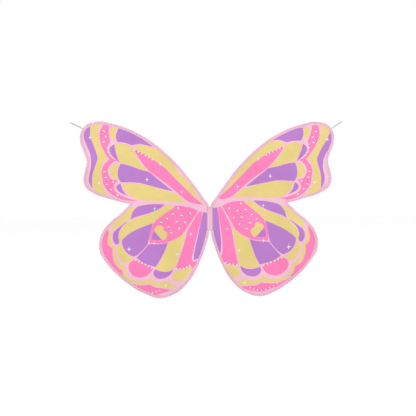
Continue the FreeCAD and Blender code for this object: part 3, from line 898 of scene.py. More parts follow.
def sewing_thread(name, colour):
    material, tree, shader = new_material(name, Roughness=0.6, Sheen_Weight=0.2)
    place = node(tree, "ShaderNodeTexCoord").outputs["Object"]
    ply = node(tree, "ShaderNodeTexNoise", {"Vector": place, "Scale": 2600.0}).outputs["Fac"]
    tree.links.new(toned(tree, colour, ranged(tree, ply, 0.3, 0.7, 0.8, 1.1)), shader.inputs["Base Color"])
    return material


MATERIALS = {}
PRINT_ORDER = ["border", "vein", "purple", "yellow", "pink", "bead_light", "bead_dark", "sparkle"]


def make_materials(cloth, trim, elastic):
    GROUPS.update(satin=satin_group(), glitter=glitter_group(), braid=braid_group(), felt=felt_group())
    MATERIALS.update(
        border=satin("glittered border", cloth.border_pink, flecks=0.14),
        vein=satin("printed veins", cloth.vein_pink, flecks=0.05),
        purple=satin("purple satin print", cloth.purple),
        yellow=satin("yellow satin print", cloth.yellow),
        pink=satin("hot pink satin print", cloth.pink),
        bead_light=satin("pale printed beads", (0.68, 0.60, 0.36)),
        bead_dark=satin("mauve printed beads", (0.36, 0.18, 0.42)),
        sparkle=satin("printed sparkles", (0.62, 0.56, 0.66), tone=0.3),
        lining=satin("pale pink lining satin", (0.62, 0.37, 0.45), tone=1.3, sheen=0.35),
        # The binding is the border pink made 6% darker: painted shade for its rolled edge over the wire
        binding=satin(
            "binding satin", tuple(0.94 * c for c in cloth.border_pink), flecks=0.10, fleck_scale=1500.0
        ),
        cushion=satin("cushion satin", (0.61, 0.35, 0.43), tone=1.2, sheen=0.35),
        thread=sewing_thread("pink sewing thread", trim.thread),
        shoulder=braided("pale pink braided elastic", (0.66, 0.52, 0.57), 520.0, 0.00022),
        finger=braided("grey braided elastic", elastic.grey, 900.0, 0.00014),
        wire=drawn_wire("spring wire", (0.60, 0.60, 0.62), 1500.0),
        ferrule=drawn_wire("crimped ferrule", (0.68, 0.68, 0.70), 700.0),
        wadding=felted("white wadding", (0.86, 0.86, 0.85), 900.0),
        filling=felted("white fibre filling", (0.90, 0.90, 0.89), 500.0, 0.0006),
        label=felted("white label tape", (0.88, 0.88, 0.86), 2400.0, 0.00006),
    )


# ---- printed cloth -------------------------------------------------------------------------------


# Half sizes of the small printed shapes, in millimetres
DROP_HALF = (4.2, 3.5)
BEAD_HALF_ALONG = 1.5
BEAD_HALF_ACROSS = (3.4, 2.7)       # pale, mauve
SPARKLE_GROWTH = 1.7


def drop_shapes():
    """Each drop's two halves, as leaning half rounds."""
    shapes = []
    for i, (x, z) in enumerate(DROPS):
        lean = 0.9 * math.sin(2.4 * i) + 0.5
        angles = np.linspace(0, math.pi, 8)
        for colour, start in (("bead_light", lean), ("bead_dark", lean + math.pi)):
            wide, tall = DROP_HALF
            ring = [(x + wide * math.cos(start + a), z + tall * math.sin(start + a)) for a in angles]
            shapes.append((colour, np.array(ring)))
    return shapes


def bead_shapes():
    shapes = []
    angles = np.linspace(0, 2 * math.pi, 9)[:-1]
    for points, count in BEAD_ROWS:
        line = smooth_line(points, 0.5)
        for i in range(count):
            nearest = int(round(i * (len(line) - 1) / (count - 1)))
            along = np.array(line[min(nearest + 3, len(line) - 1)]) - line[max(nearest - 3, 0)]
            along = along / np.linalg.norm(along)
            across = np.array((-along[1], along[0]))
            reach = BEAD_HALF_ACROSS[i % 2]
            ring = np.outer(BEAD_HALF_ALONG * np.cos(angles), along)
            ring += np.outer(reach * np.sin(angles), across)
            shapes.append(("bead_light" if i % 2 == 0 else "bead_dark", line[nearest] + ring))
    return shapes


def sparkle_shapes():
    """Four long points and four short ones round a small round middle."""
    shapes = []
    for (x, z), reach in SPARKLES:
        ring = []
        for i in range(16):
            share = {0: 1.0, 8: 1.0, 4: 0.8, 12: 0.8}.get(i, 0.24 if i % 2 else 0.36)
            radius = reach * SPARKLE_GROWTH * share
            angle = math.pi / 2 + i * math.pi / 8
            ring.append((x + radius * math.cos(angle), z + radius * math.sin(angle)))
        shapes.append(("sparkle", np.array(ring)))
    return shapes


def print_shapes(vein, wing):
    """Every printed shape on a wing, in the order that it is laid down."""
    shapes = []
    for cell in CELLS:
        loop = on_wing(closed_curve(cell.strokes, 2.6), wing)
        shapes.append(("vein", loop))
        shapes.append((cell.colour, inset_loop(loop, vein / 2)))
    for colour, loop in drop_shapes() + bead_shapes() + sparkle_shapes():
        shapes.append((colour, on_wing(loop, wing)))
    return shapes


GRID_CLEARANCE = 0.0022     # between the grid's points and the printed lines


def filled_grid(spacing, keep_off, clearance):
    """Points of an even triangular grid inside the wing, clear of the given points."""
    low, high = OUTLINE.min(axis=0), OUTLINE.max(axis=0)
    rows = []
    for i, v in enumerate(np.arange(low[1], high[1], spacing * 0.866)):
        start = low[0] + (spacing / 2 if i % 2 else 0)
        us = np.arange(start, high[0], spacing)
        rows.append(np.column_stack([us, np.full(len(us), v)]))
    grid = np.vstack(rows)
    grid = grid[inside(OUTLINE, grid)]
    return grid[distance_to(keep_off, grid) > clearance]


def turnings(vertices, faces):
    """Twice each triangle's area, less than nothing where it runs clockwise."""
    a, b, c = (vertices[faces[:, k]] for k in range(3))
    return (b[:, 0] - a[:, 0]) * (c[:, 1] - a[:, 1]) - (b[:, 1] - a[:, 1]) * (c[:, 0] - a[:, 0])


def triangulated(loops, grid):
    """Triangles inside the wing that no loop's line crosses: their points and their corners."""
    points, edges = [], []
    for loop in [OUTLINE, *loops]:
        first = len(points)
        points += [Vector(p) for p in loop]
        edges += [(first + i, first + (i + 1) % len(loop)) for i in range(len(loop))]
    points += [Vector(p) for p in grid]
    made = delaunay_2d_cdt(points, edges, [], 0, 1e-7, False)
    vertices = np.array([tuple(p) for p in made[0]])
    faces = np.array([tuple(f) for f in made[2]])
    centres = vertices[faces].mean(axis=1)
    kept = inside(OUTLINE, centres)
    faces, centres = faces[kept], centres[kept]
    turning = turnings(vertices, faces)
    faces[turning < 0] = faces[turning < 0][:, ::-1]
    return vertices, faces, centres


def wing_sheet(name, side, vertices, faces, depth, body, materials):
    """A sheet of cloth over the wing at the given depths, with its visible side turned outwards."""
    shown_front = depth.mean() < WING_Y
    turned = (side < 0) == shown_front
    corners = faces[:, ::-1] if turned else faces
    points = [wing_vertex(u, v, y, side) for (u, v), y in zip(vertices, depth)]
    return object_from(name, points, corners, body, materials)


class MakePrintedCloth(bpy.types.Operator):
    """Makes the printed show panel of each wing"""

    bl_idname = "wings.printed_cloth"
    bl_label = "Printed cloth"

    def execute(self, context):
        settings = context.scene.wing_cloth
        materials = [MATERIALS[colour] for colour in PRINT_ORDER]
        for name, side in SIDES.items():
            shapes = print_shapes(settings.vein, name)
            taken = np.vstack([OUTLINE, *[loop for _, loop in shapes]])
            grid = filled_grid(0.0058, taken, GRID_CLEARANCE)
            vertices, faces, centres = triangulated([loop for _, loop in shapes], grid)
            paint = np.zeros(len(faces), int)
            for colour, loop in shapes:
                paint[inside(loop, centres)] = PRINT_ORDER.index(colour)
            relief = cloth_relief(vertices, settings.puff, settings.fold, 0.7 * side)
            depth = WING_Y - PANEL_FACE - relief
            piece = wing_sheet(
                name + "_printed_cloth", side, vertices, faces, depth, name + "_wing", materials
            )
            piece.data.polygons.foreach_set("material_index", paint)
            thicken(piece, CLOTH, -1.0)
            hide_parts(name + "_show_panel")
        return {"FINISHED"}


class MakeLining(bpy.types.Operator):
    """Makes the plain lining behind each wing"""

    bl_idname = "wings.lining"
    bl_label = "Lining"

    def execute(self, context):
        settings = context.scene.wing_cloth
        grid = filled_grid(0.0055, OUTLINE, GRID_CLEARANCE)
        vertices, faces, _ = triangulated([], grid)
        for name, side in SIDES.items():
            relief = cloth_relief(vertices, settings.puff * 0.7, settings.fold, 2.1 * side)
            depth = WING_Y + PANEL_FACE + relief
            piece = wing_sheet(
                name + "_lining_cloth", side, vertices, faces, depth, name + "_wing", [MATERIALS["lining"]]
            )
            thicken(piece, CLOTH, -1.0)
            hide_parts(name + "_lining")
        return {"FINISHED"}


# ---- bindings and stitches -----------------------------------------------------------------------
# The binding's section: (inward from the wire, towards the viewer), from one flap to the other
BINDING_SECTION = [
    (6.45, 1.60), (6.42, 1.80), (6.0, 1.95), (5.0, 1.99), (3.9, 1.98), (3.1, 1.90), (2.6, 1.72),
    (2.25, 1.64), (1.85, 1.72), (1.3, 1.92), (0.7, 2.19), (0.0, 2.30), (-0.88, 2.12), (-1.63, 1.63),
    (-2.12, 0.88), (-2.30, 0.0),
]
GROOVE = (2.3, 1.78)        # where the edge stitches lie in the section
BINDING_CLOTH = 0.0004


def frame_of(line):
    """Tangents, and normals to the right of travel, along a line."""
    tangent = np.gradient(line, axis=0)
    tangent /= np.linalg.norm(tangent, axis=1)[:, None]
    return tangent, np.column_stack([tangent[:, 1], -tangent[:, 0]])


RUN_ON = {"fore": 0.0112, "hind": 0.0088}      # how far each binding runs on at the notch


def wire_line(lobe, spacing):
    """The wire's line round one lobe, from the spine or from the notch, run on to meet at the notch."""
    edge = FORE_EDGE[:-1] if lobe == "fore" else HIND_EDGE[1:]
    line = smooth_line(edge, spacing, 4)
    tangent, right = frame_of(line)
    line = line - right * PANEL_INSET
    if lobe == "fore":
        reach = np.arange(spacing, RUN_ON[lobe], spacing)[:, None]
        return np.vstack([line[1:], line[-1] + tangent[-1] * reach])
    reach = np.arange(spacing, RUN_ON[lobe], spacing)[::-1, None]
    return np.vstack([line[0] - tangent[0] * reach, line[:-1]])


def swept_section(line, section, name, side, body, material, ripple):
    """A sheet with that section along a line in the wing plane, gathered a little by its stitches."""
    _, right = frame_of(line)
    along = np.concatenate([[0], np.cumsum(np.linalg.norm(np.diff(line, axis=0), axis=1))])
    rng = random.Random(len(line))
    phases = [rng.uniform(0, 6.28) for _ in range(4)]
    vertices = []
    for centre, inward, s in zip(line, right, along):
        pucker = math.sin(2 * math.pi * s / 0.0036 + phases[0]) * (0.6 + 0.4 * math.sin(s * 160 + phases[1]))
        drift = math.sin(s * 61 + phases[2]) + math.sin(s * 137 + phases[3])
        for n, y in section:
            flap = min(max((n - 2.2) / 3.0, 0.0), 1.0)
            lift = 1 + (pucker * 0.035 * flap + drift * 0.008 * (1 - flap)) * ripple
            wander = drift * 0.10 * flap * ripple
            u, v = centre + inward * (n + wander) * MM
            vertices.append(wing_vertex(u, v, WING_Y - y * lift * MM, side))
    faces = rows_joined(len(line), len(section), closed=False)
    if side > 0:
        faces = [quad[::-1] for quad in faces]
    return object_from(name, vertices, faces, body, [material])


def both_faces(section):
    """The section given for the front, carried on round to the back."""
    return section + [(n, -y) for n, y in reversed(section[:-1])]


class MakeBindings(bpy.types.Operator):
    """Makes the binding folded over each lobe's edge, and the hem beside the spine"""

    bl_idname = "wings.bindings"
    bl_label = "Bindings"

    def execute(self, context):
        for name, side in SIDES.items():
            for lobe in ("fore", "hind"):
                line = wire_line(lobe, 0.0018)
                piece = swept_section(
                    line, both_faces(BINDING_SECTION), name + "_" + lobe + "_binding_cloth", side,
                    name + "_wing", MATERIALS["binding"], 1.0,
                )
                thicken(piece, BINDING_CLOTH, -1.0)
                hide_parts(name + "_" + lobe + "_binding")
            self.make_hem(name, side)
        return {"FINISHED"}

    def make_hem(self, name, side):
        """The narrow hem that finishes the panel's edge beside the spine."""
        section = [
            (1.75, 1.56), (1.7, 1.70), (1.4, 1.80), (0.9, 1.84), (0.35, 1.78), (0.0, 1.50),
            (-0.16, 0.9), (-0.2, 0.0),
        ]
        bottom, top = HIND_EDGE[-1], FORE_EDGE[0]
        line = smooth_line([bottom + (0, 0.0004), top - (0, 0.0004)], 0.0015)
        piece = swept_section(
            line, both_faces(section), name + "_inner_hem", side, name + "_wing", MATERIALS["binding"], 0.4
        )
        thicken(piece, 0.00025, -1.0)


def stitch_run(places, directions, faces_out, length, width, name, body, material):
    """Stitches as small spindles, all in one mesh."""
    rings = [(-0.5, 0.15), (-0.3, 0.85), (0.0, 1.0), (0.3, 0.85), (0.5, 0.15)]
    sides = 6
    vertices, faces = [], []
    for place, along, out in zip(places, directions, faces_out):
        across = np.cross(out, along)
        first = len(vertices)
        for t, share in rings:
            for k in range(sides):
                angle = 2 * math.pi * k / sides
                offset = across * math.cos(angle) * width / 2 + out * math.sin(angle) * width / 3
                vertices.append(place + along * t * length + offset * share)
        faces += rows_joined(len(rings), sides, first=first) + end_faces(len(rings), sides, first)
    piece = object_from(name, vertices, faces, body, [material])
    recalculate(piece)
    return piece


class MakeEdgeStitches(bpy.types.Operator):
    """Sews the bindings' edges on both faces of each wing"""

    bl_idname = "wings.edge_stitches"
    bl_label = "Edge stitches"

    def execute(self, context):
        pitch = context.scene.wing_trim.stitch
        for name, side in SIDES.items():
            places, directions, outs = [], [], []
            for lobe in ("fore", "hind"):
                line = wire_line(lobe, pitch)
                tangent, right = frame_of(line)
                for centre, along, inward in zip(line[1:-2], tangent[1:-2], right[1:-2]):
                    u, v = centre + inward * GROOVE[0] * MM
                    for face in (1, -1):
                        places.append(np.array(wing_vertex(u, v, WING_Y - face * GROOVE[1] * MM, side)))
                        directions.append(np.array((side * along[0], 0.0, along[1])))
                        outs.append(np.array((0.0, -face, 0.0)))
            piece = stitch_run(
                places, directions, outs, pitch * 0.66, 0.0007, name + "_edge_stitches", name + "_wing",
                MATERIALS["thread"],
            )
        return {"FINISHED"}


# ---- spine ---------------------------------------------------------------------------------------


def upright_sweep(name, section, closed, wave, spacing, body, material):
    """A section swept up the spine, each ring moved a little by wave(z, x, y)."""
    heights = np.linspace(-SPINE_HALF, SPINE_HALF, int(2 * SPINE_HALF / spacing) + 1)
    vertices = []
    for z in heights:
        for x, y in section:
            dx, dy = wave(z, x, y)
            vertices.append(((x + dx) * MM, WING_Y - (y + dy) * MM, z))
    faces = rows_joined(len(heights), len(section), closed)
    if closed:
        faces += end_faces(len(heights), len(section))
    piece = object_from(name, vertices, faces, body, [material])
    if closed:
        recalculate(piece)
        for cap in (-2, -1):
            piece.data.polygons[cap].use_smooth = False
    return piece


def spine_section():
    """Round both tunnels, with a shallow dip between them on either face."""
    hinge, reach = HINGE_X / MM, TUNNEL_R / MM
    ring = []
    for turn in np.linspace(-math.pi / 2, math.pi / 2, 13):
        ring.append((hinge + reach * math.cos(turn), reach * math.sin(turn)))
    for x in np.linspace(hinge - 0.6, 0.6 - hinge, 9):
        ring.append((x, reach - 0.28 * math.cos(x / hinge * math.pi / 2) ** 2))
    for turn in np.linspace(math.pi / 2, 1.5 * math.pi, 13):
        ring.append((-hinge + reach * math.cos(turn), reach * math.sin(turn)))
    for x in np.linspace(0.6 - hinge, hinge - 0.6, 9):
        ring.append((x, -reach + 0.28 * math.cos(x / hinge * math.pi / 2) ** 2))
    return ring


class MakeSpine(bpy.types.Operator):
    """Makes the gathered spine, with a tunnel for each wing's wires, and its front strip"""

    bl_idname = "wings.spine"
    bl_label = "Spine"

    def execute(self, context):
        def gathers(z, x, y):
            ripple = math.sin(z * 1900 + 1.7 * math.sin(x * 0.9)) + 0.6 * math.sin(z * 3170 + x)
            return 0.03 * ripple * (1 if x > 0 else -1), 0.075 * ripple * (1 if y > 0 else -1)

        cover = upright_sweep(
            "spine_cover", spine_section(), True, gathers, 0.0007, "spine", MATERIALS["border"]
        )
        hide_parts("spine_tape")

        strip_low, strip_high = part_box("front_strip")
        half = strip_high[0] / MM
        front = (WING_Y - strip_low[1]) / MM
        rise = [0.0, 0.22, 0.36, 0.42, 0.40, 0.30, 0.40, 0.42, 0.36, 0.22, 0.0]
        section = [(x, front - 0.46 + r) for x, r in zip(np.linspace(-half + 0.05, half - 0.05, 11), rise)]

        def puckers(z, x, y):
            spread = abs(x) / half
            ripple = math.sin(z * 2 * math.pi / 0.0023 + 0.8 * math.sin(z * 410) + 1.1 * x)
            return 0.05 * ripple * spread, 0.09 * ripple * (0.25 + spread) * (1 - 0.6 * spread)

        strip = upright_sweep("spine_strip", section, False, puckers, 0.00045, "spine", MATERIALS["border"])
        thicken(strip, 0.00022, -1.0)
        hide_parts("front_strip")
        return {"FINISHED"}


# ---- cushion -------------------------------------------------------------------------------------


def merged_copy(node_name, name):
    """A copy of a CAD node's mesh in a new object, with its corners joined."""
    mesh = frame["nodes"][node_name].data.copy()
    mesh.materials.clear()
    piece = bpy.data.objects.new(name, mesh)
    bpy.context.collection.objects.link(piece)
    recalculate(piece)
    return piece


def inflate(piece, pressure, most):
    """Blows the piece up as cloth, and holds every point's move to the most."""
    before = np.array([v.co for v in piece.data.vertices])
    cloth = piece.modifiers.new("Cloth", "CLOTH")
    cloth.settings.quality = 6
    cloth.settings.mass = 0.1
    cloth.settings.use_pressure = True
    cloth.settings.uniform_pressure_force = pressure
    cloth.settings.effector_weights.gravity = 0
    cloth.settings.tension_stiffness = 12
    cloth.settings.compression_stiffness = 12
    cloth.point_cache.frame_start, cloth.point_cache.frame_end = 1, 20
    for step in range(1, 21):
        bpy.context.scene.frame_set(step)
    shaped = piece.evaluated_get(bpy.context.evaluated_depsgraph_get())
    after = np.array([v.co for v in shaped.data.vertices])
    piece.modifiers.remove(cloth)
    bpy.context.scene.frame_set(1)
    move = after - before
    size = np.linalg.norm(move, axis=1)[:, None]
    move *= np.minimum(1, most / np.maximum(size, 1e-9))
    reshape(piece, before + move)


def seam_pull(place, normal, seam_y):
    """How far a cushion point moves: drawn in at the seam, with short puckers running out of it."""
    x, y, z = place
    off_seam = abs(y - seam_y)
    near = math.exp(-((off_seam / 0.0035) ** 2))
    round_about = math.atan2(z / 2, x)
    pucker = math.sin(round_about * 34 + 1.2 * math.sin(round_about * 5))
    pucker += 0.5 * math.sin(round_about * 57 + 1)
    slack = math.sin(x * 260 + z * 90) * math.sin(z * 150 - x * 60)
    return normal * (0.00016 * pucker * near * (off_seam > 0.0004) + 0.00022 * slack * (1 - near))


class MakeCushion(bpy.types.Operator):
    """Blows up the back cushion's satin cover from its filling"""

    bl_idname = "wings.cushion"
    bl_label = "Cushion"

    def execute(self, context):
        cushion = merged_copy("cushion_filling", "back_cushion")
        select_only(cushion)
        remesh = cushion.modifiers.new("Remesh", "REMESH")
        remesh.mode = "VOXEL"
        remesh.voxel_size = 0.0016
        bpy.ops.object.modifier_apply(modifier=remesh.name)
        inflate(cushion, 4.0, 0.0013)
        finer = cushion.modifiers.new("Finer", "SUBSURF")
        finer.levels = finer.render_levels = 1
        apply_modifiers(cushion)
        seam_y = float(sum(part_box("cushion_piping")[i][1] for i in (0, 1)) / 2)
        low, high = (np.array(corner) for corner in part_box("cushion_cover"))
        self.fit(cushion, low, high)
        moved = []
        for vertex in cushion.data.vertices:
            place = vertex.co + seam_pull(vertex.co, vertex.normal, seam_y)
            moved.append([min(max(place[k], low[k]), high[k]) for k in range(3)])
        reshape(cushion, moved)
        shade_smooth(cushion)
        filling = self.make_filling(cushion)
        cushion.data.materials.append(MATERIALS["cushion"])
        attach(cushion, "spine")
        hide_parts("cushion_cover")
        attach(filling, "spine")
        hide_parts("cushion_filling")
        return {"FINISHED"}

    def fit(self, piece, low, high):
        """Stretches the piece to fill the box."""
        points = np.array([v.co for v in piece.data.vertices])
        start, end = points.min(axis=0), points.max(axis=0)
        points = low + (points - start) / (end - start) * (high - low)
        reshape(piece, points)

    def make_filling(self, cushion):
        """The fibre filling: the cushion's own shape, a little inside its cover."""
        filling = bpy.data.objects.new("cushion_fibre", cushion.data.copy())
        filling.data.name = "cushion_fibre"
        bpy.context.collection.objects.link(filling)
        inner = [v.co - v.normal * 0.0009 for v in cushion.data.vertices]
        reshape(filling, inner)
        filling.data.materials.append(MATERIALS["filling"])
        return filling


# ---- elastics ------------------------------------------------------------------------------------


def route_line(points):
    """The smooth line of a cord whose control points these are."""
    curve = bpy.data.curves.new("route", "CURVE")
    curve.dimensions = "3D"
    curve.resolution_u = 14
    spline = curve.splines.new("NURBS")
    spline.points.add(len(points) - 1)
    for point, place in zip(spline.points, points):
        point.co = (*place, 1.0)
    spline.order_u = 3
    spline.use_endpoint_u = True
    route = bpy.data.objects.new("route", curve)
    bpy.context.collection.objects.link(route)
    mesh = bpy.data.meshes.new_from_object(route)
    line = np.array([v.co for v in mesh.vertices])
    bpy.data.objects.remove(route)
    bpy.data.curves.remove(curve)
    bpy.data.meshes.remove(mesh)
    return line


def cord_tube(name, line, diameter, body, material, sides=16):
    """A round cord along a line, with a map of metres along it and turns round it."""
    tangents = np.gradient(line, axis=0)
    tangents /= np.linalg.norm(tangents, axis=1)[:, None]
    along = np.concatenate([[0], np.cumsum(np.linalg.norm(np.diff(line, axis=0), axis=1))])
    across = np.cross(tangents[0], (0.31, 0.83, 0.47))
    vertices, maps = [], []
    for place, tangent in zip(line, tangents):
        across = across - tangent * across.dot(tangent)
        across /= np.linalg.norm(across)
        other = np.cross(tangent, across)
        for k in range(sides):
            angle = 2 * math.pi * k / sides
            vertices.append(place + (across * math.cos(angle) + other * math.sin(angle)) * diameter / 2)
    for i in range(len(line) - 1):
        for k in range(sides):
            low, high = k / sides, (k + 1) / sides
            maps += [(along[i], low), (along[i], high), (along[i + 1], high), (along[i + 1], low)]
    faces = rows_joined(len(line), sides) + end_faces(len(line), sides)
    maps += [(along[0], k / sides) for k in range(sides)] + [(along[-1], k / sides) for k in range(sides)]
    piece = object_from(name, vertices, faces, body, [material])
    layer = piece.data.uv_layers.new(name="along")
    for loop, place in zip(layer.data, maps):
        loop.uv = place
    return piece


def strap_place(side, out, up, sideways=0.0):
    """A point of a shoulder elastic's plane: away from its seam, up, and square to the plane."""
    x, y = STRAP_SEAM
    c, s = math.cos(STRAP_SPLAY), math.sin(STRAP_SPLAY)
    return (side * (x + out * c - sideways * s), y + out * s + sideways * c, up)


def finger_place(side, out, back, across=0.0):
    """A point of a finger elastic's plane: outwards from the tab's end, back, and across the tab."""
    c, s = math.cos(FINGER_ANGLE), math.sin(FINGER_ANGLE)
    u, v = FINGER_START[0] + out * c - across * s, FINGER_START[1] + out * s + across * c
    return (side * u, WING_Y + back, v)


STRAP_SEAM = (abs(JOINTS["right_strap_swing"]["pos_m"][0]), JOINTS["right_strap_swing"]["pos_m"][1])


class MakeShoulderElastics(bpy.types.Operator):
    """Makes the two elastic loops that go over the shoulders"""

    bl_idname = "wings.shoulder_elastics"
    bl_label = "Shoulder elastics"

    def execute(self, context):
        diameter = context.scene.wing_elastic.shoulder
        for name, side in SIDES.items():
            line = route_line([strap_place(side, out, up) for out, up in STRAP_ROUTE])
            piece = cord_tube(
                name + "_shoulder_elastic", line, diameter, name + "_strap", MATERIALS["shoulder"]
            )
            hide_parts(name + "_strap")
        return {"FINISHED"}


class MakeFingerElastics(bpy.types.Operator):
    """Makes the thin elastic loop at each wing tip"""

    bl_idname = "wings.finger_elastics"
    bl_label = "Finger elastics"

    def execute(self, context):
        diameter = context.scene.wing_elastic.finger
        for name, side in SIDES.items():
            lean = math.tan(FINGER_LEAN[name])
            route = []
            for out, back in FINGER_ROUTE:
                route.append(finger_place(side, out, back, max(0, out - FINGER_LEAN_START) * lean))
            line = route_line(route)
            piece = cord_tube(
                name + "_finger_elastic", line, diameter, name + "_wing", MATERIALS["finger"], 12
            )
            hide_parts(name + "_finger_loop")
        return {"FINISHED"}


# ---- tabs and label ------------------------------------------------------------------------------


def folded_patch(name, size, taper, material):
    """A folded cloth patch lying along +X from the origin, its near end pinched to the taper."""
    length, width, thick = size
    bpy.ops.object.select_all(action="DESELECT")
    bpy.ops.mesh.primitive_cube_add(size=1, location=(length / 2, 0, 0))
    piece = bpy.context.active_object
    piece.name = piece.data.name = name
    piece.scale = (length, width, thick)
    bpy.ops.object.transform_apply(location=True, rotation=True, scale=True)
    bpy.ops.object.mode_set(mode="EDIT")
    shape = bmesh.from_edit_mesh(piece.data)
    for face in shape.faces:
        face.select_set(False)
    for face in shape.faces:
        if face.normal.x < -0.9:
            face.select_set(True)
    bmesh.update_edit_mesh(piece.data)
    bpy.ops.transform.resize(value=(1, 1, taper))
    bpy.ops.mesh.select_all(action="SELECT")
    bpy.ops.mesh.bevel(offset=min(thick, width) * taper * 0.45, segments=3)
    bpy.ops.mesh.select_all(action="SELECT")
    bpy.ops.mesh.subdivide(number_cuts=3)
    bpy.ops.object.mode_set(mode="OBJECT")
    finer = piece.modifiers.new("Finer", "SUBSURF")
    finer.levels = finer.render_levels = 1
    apply_modifiers(piece)
    piece.data.materials.append(material)
    shade_smooth(piece)
    return piece


def creased(piece, depth, pitch):
    """Fine creases across a patch, pressed in along its normals."""
    moved = []
    for vertex in piece.data.vertices:
        x, y, z = vertex.co
        crease = math.sin(x / pitch * 2 * math.pi + 900 * y) + 0.5 * math.sin(x / pitch * 3.7 + 1400 * z)
        moved.append(vertex.co + vertex.normal * depth * crease)
    reshape(piece, moved)


def placed_copy(piece, name, place, body):
    """A copy of the piece with every point put in the frame by place(x, y, z)."""
    copy = bpy.data.objects.new(name, piece.data.copy())
    copy.data.name = name
    bpy.context.collection.objects.link(copy)
    copy.data.vertices.foreach_set("co", np.array([place(*v.co) for v in copy.data.vertices]).ravel())
    recalculate(copy)
    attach(copy, body)
    return copy


class MakeTabs(bpy.types.Operator):
    """Makes the folded tabs that hold the elastics' ends, and their bar tacks"""

    bl_idname = "wings.tabs"
    bl_label = "Tabs"

    def execute(self, context):
        tab = folded_patch("strap_tab", (0.0078, 0.0088, 0.0058), 0.2, MATERIALS["binding"])
        creased(tab, 0.00007, 0.0021)
        ends = {"upper": STRAP_ROUTE[0][1], "lower": STRAP_ROUTE[-1][1]}
        for name, side in SIDES.items():
            made = []
            for end, height in ends.items():
                def strap_end(x, y, z, side=side, height=height):
                    return strap_place(side, x - 0.0002, height + y, z)

                made.append(placed_copy(tab, name + "_" + end + "_strap_tab", strap_end, name + "_strap"))
            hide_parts(name + "_strap_tabs")
            self.sew_strap_ends(name, side, ends.values())
        bpy.data.objects.remove(tab)

        low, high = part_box("right_finger_tab")
        foot, top = low[1] - WING_Y, high[1] - WING_Y
        patch = folded_patch("finger_tab", (0.0136, 0.0044, top - foot), 0.62, MATERIALS["binding"])
        creased(patch, 0.00005, 0.0019)
        for name, side in SIDES.items():
            def tab_end(x, y, z, side=side):
                return finger_place(side, 0.0007 - x, (foot + top) / 2 + z, y)

            made = placed_copy(patch, name + "_finger_patch", tab_end, name + "_wing")
            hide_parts(name + "_finger_tab")
            self.tack_finger_tab(name, side, top)
        bpy.data.objects.remove(patch)
        return {"FINISHED"}

    def sew_strap_ends(self, name, side, heights):
        """A short row of stitches across each face of a strap's tabs."""
        places, directions, outs = [], [], []
        for height in heights:
            for face in (1, -1):
                for step in (-1.5, -0.5, 0.5, 1.5):
                    place = np.array(strap_place(side, 0.0024, height + step * 0.002, face * 0.00142))
                    middle = strap_place(side, 0.0024, height)
                    out = np.array(strap_place(side, 0.0024, height, face)) - middle
                    places.append(place)
                    directions.append(np.array((0.0, 0.0, 1.0)))
                    outs.append(out / np.linalg.norm(out))
        piece = stitch_run(
            places, directions, outs, 0.0016, 0.0005, name + "_strap_stitches", name + "_strap",
            MATERIALS["thread"],
        )

    def tack_finger_tab(self, name, side, top):
        """A bar tack: close stitches side by side across the finger tab."""
        places, directions, outs = [], [], []
        origin = np.array(finger_place(side, 0, 0))
        across = np.array(finger_place(side, 0, 0, 1)) - origin
        for step in range(6):
            places.append(np.array(finger_place(side, -0.0079 + step * 0.0005, top + 0.00005)))
            directions.append(across)
            outs.append(np.array((0.0, 1.0, 0.0)))
        piece = stitch_run(
            places, directions, outs, 0.0042, 0.00055, name + "_finger_bar_tack", name + "_wing",
            MATERIALS["thread"],
        )
        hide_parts(name + "_finger_tack")


class MakeLabel(bpy.types.Operator):
    """Makes the blank tape label sewn to the left wing's lining"""

    bl_idname = "wings.label"
    bl_label = "Label"

    def execute(self, context):
        settings = context.scene.wing_cloth
        low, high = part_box("care_label")
        wide, tall = high[0] - low[0], high[2] - low[2]
        bpy.ops.object.select_all(action="DESELECT")
        bpy.ops.mesh.primitive_grid_add(x_subdivisions=20, y_subdivisions=28, size=1)
        label = bpy.context.active_object
        label.name = label.data.name = "tape_label"
        flat = np.array([v.co for v in label.data.vertices])
        u = -(low[0] + (flat[:, 0] + 0.5) * wide)
        v = low[2] + (flat[:, 1] + 0.5) * tall
        places = np.column_stack([u, v])
        rest = cloth_relief(places, settings.puff * 0.7, settings.fold, 2.1 * SIDES["left"])
        hang = (high[2] - v) / tall
        curl = 0.0016 * hang**2 * (1 + 0.5 * np.cos((flat[:, 0]) * 2 * math.pi)) + 0.0001
        y = WING_Y + PANEL_FACE + rest + curl + (high[1] - low[1])
        reshape(label, np.column_stack([-u, y, v]))
        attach(label, "left_wing")
        recalculate(label)
        if label.data.polygons[0].normal.y < 0:
            label.data.flip_normals()
        label.data.materials.append(MATERIALS["label"])
        shade_smooth(label)
        thicken(label, high[1] - low[1], -1.0)
        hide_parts("care_label")
        self.sew_top(label, low, high, wide)
        return {"FINISHED"}

    def sew_top(self, label, low, high, wide):
        line = max((v.co.y for v in label.data.vertices if v.co.z > high[2] - 0.002))
        places, directions, outs = [], [], []
        for i in range(8):
            places.append(np.array((low[0] + wide * (i + 0.5) / 8, line + 0.00005, high[2] - 0.0015)))
            directions.append(np.array((1.0, 0.0, 0.0)))
            outs.append(np.array((0.0, 1.0, 0.0)))
        piece = stitch_run(
            places, directions, outs, 0.0021, 0.0005, "label_stitches", "left_wing", MATERIALS["thread"]
        )


class FinishInnerParts(bpy.types.Operator):
    """Gives the wires, ferrules, wadding, piping and spine stitches their finishes"""

    bl_idname = "wings.inner_parts"
    bl_label = "Inner parts"

    def execute(self, context):
        finishes = {"cushion_piping": "binding", "front_stitches": "thread"}
        for name in SIDES:
            finishes.update({
                name + "_fore_wire": "wire", name + "_hind_wire": "wire", name + "_wire_ferrules": "ferrule",
                name + "_fore_wadding": "wadding", name + "_hind_wadding": "wadding",
            })
        for part, finish in finishes.items():
            for slot in frame["nodes"][part].material_slots:
                slot.material = MATERIALS[finish]
        return {"FINISHED"}


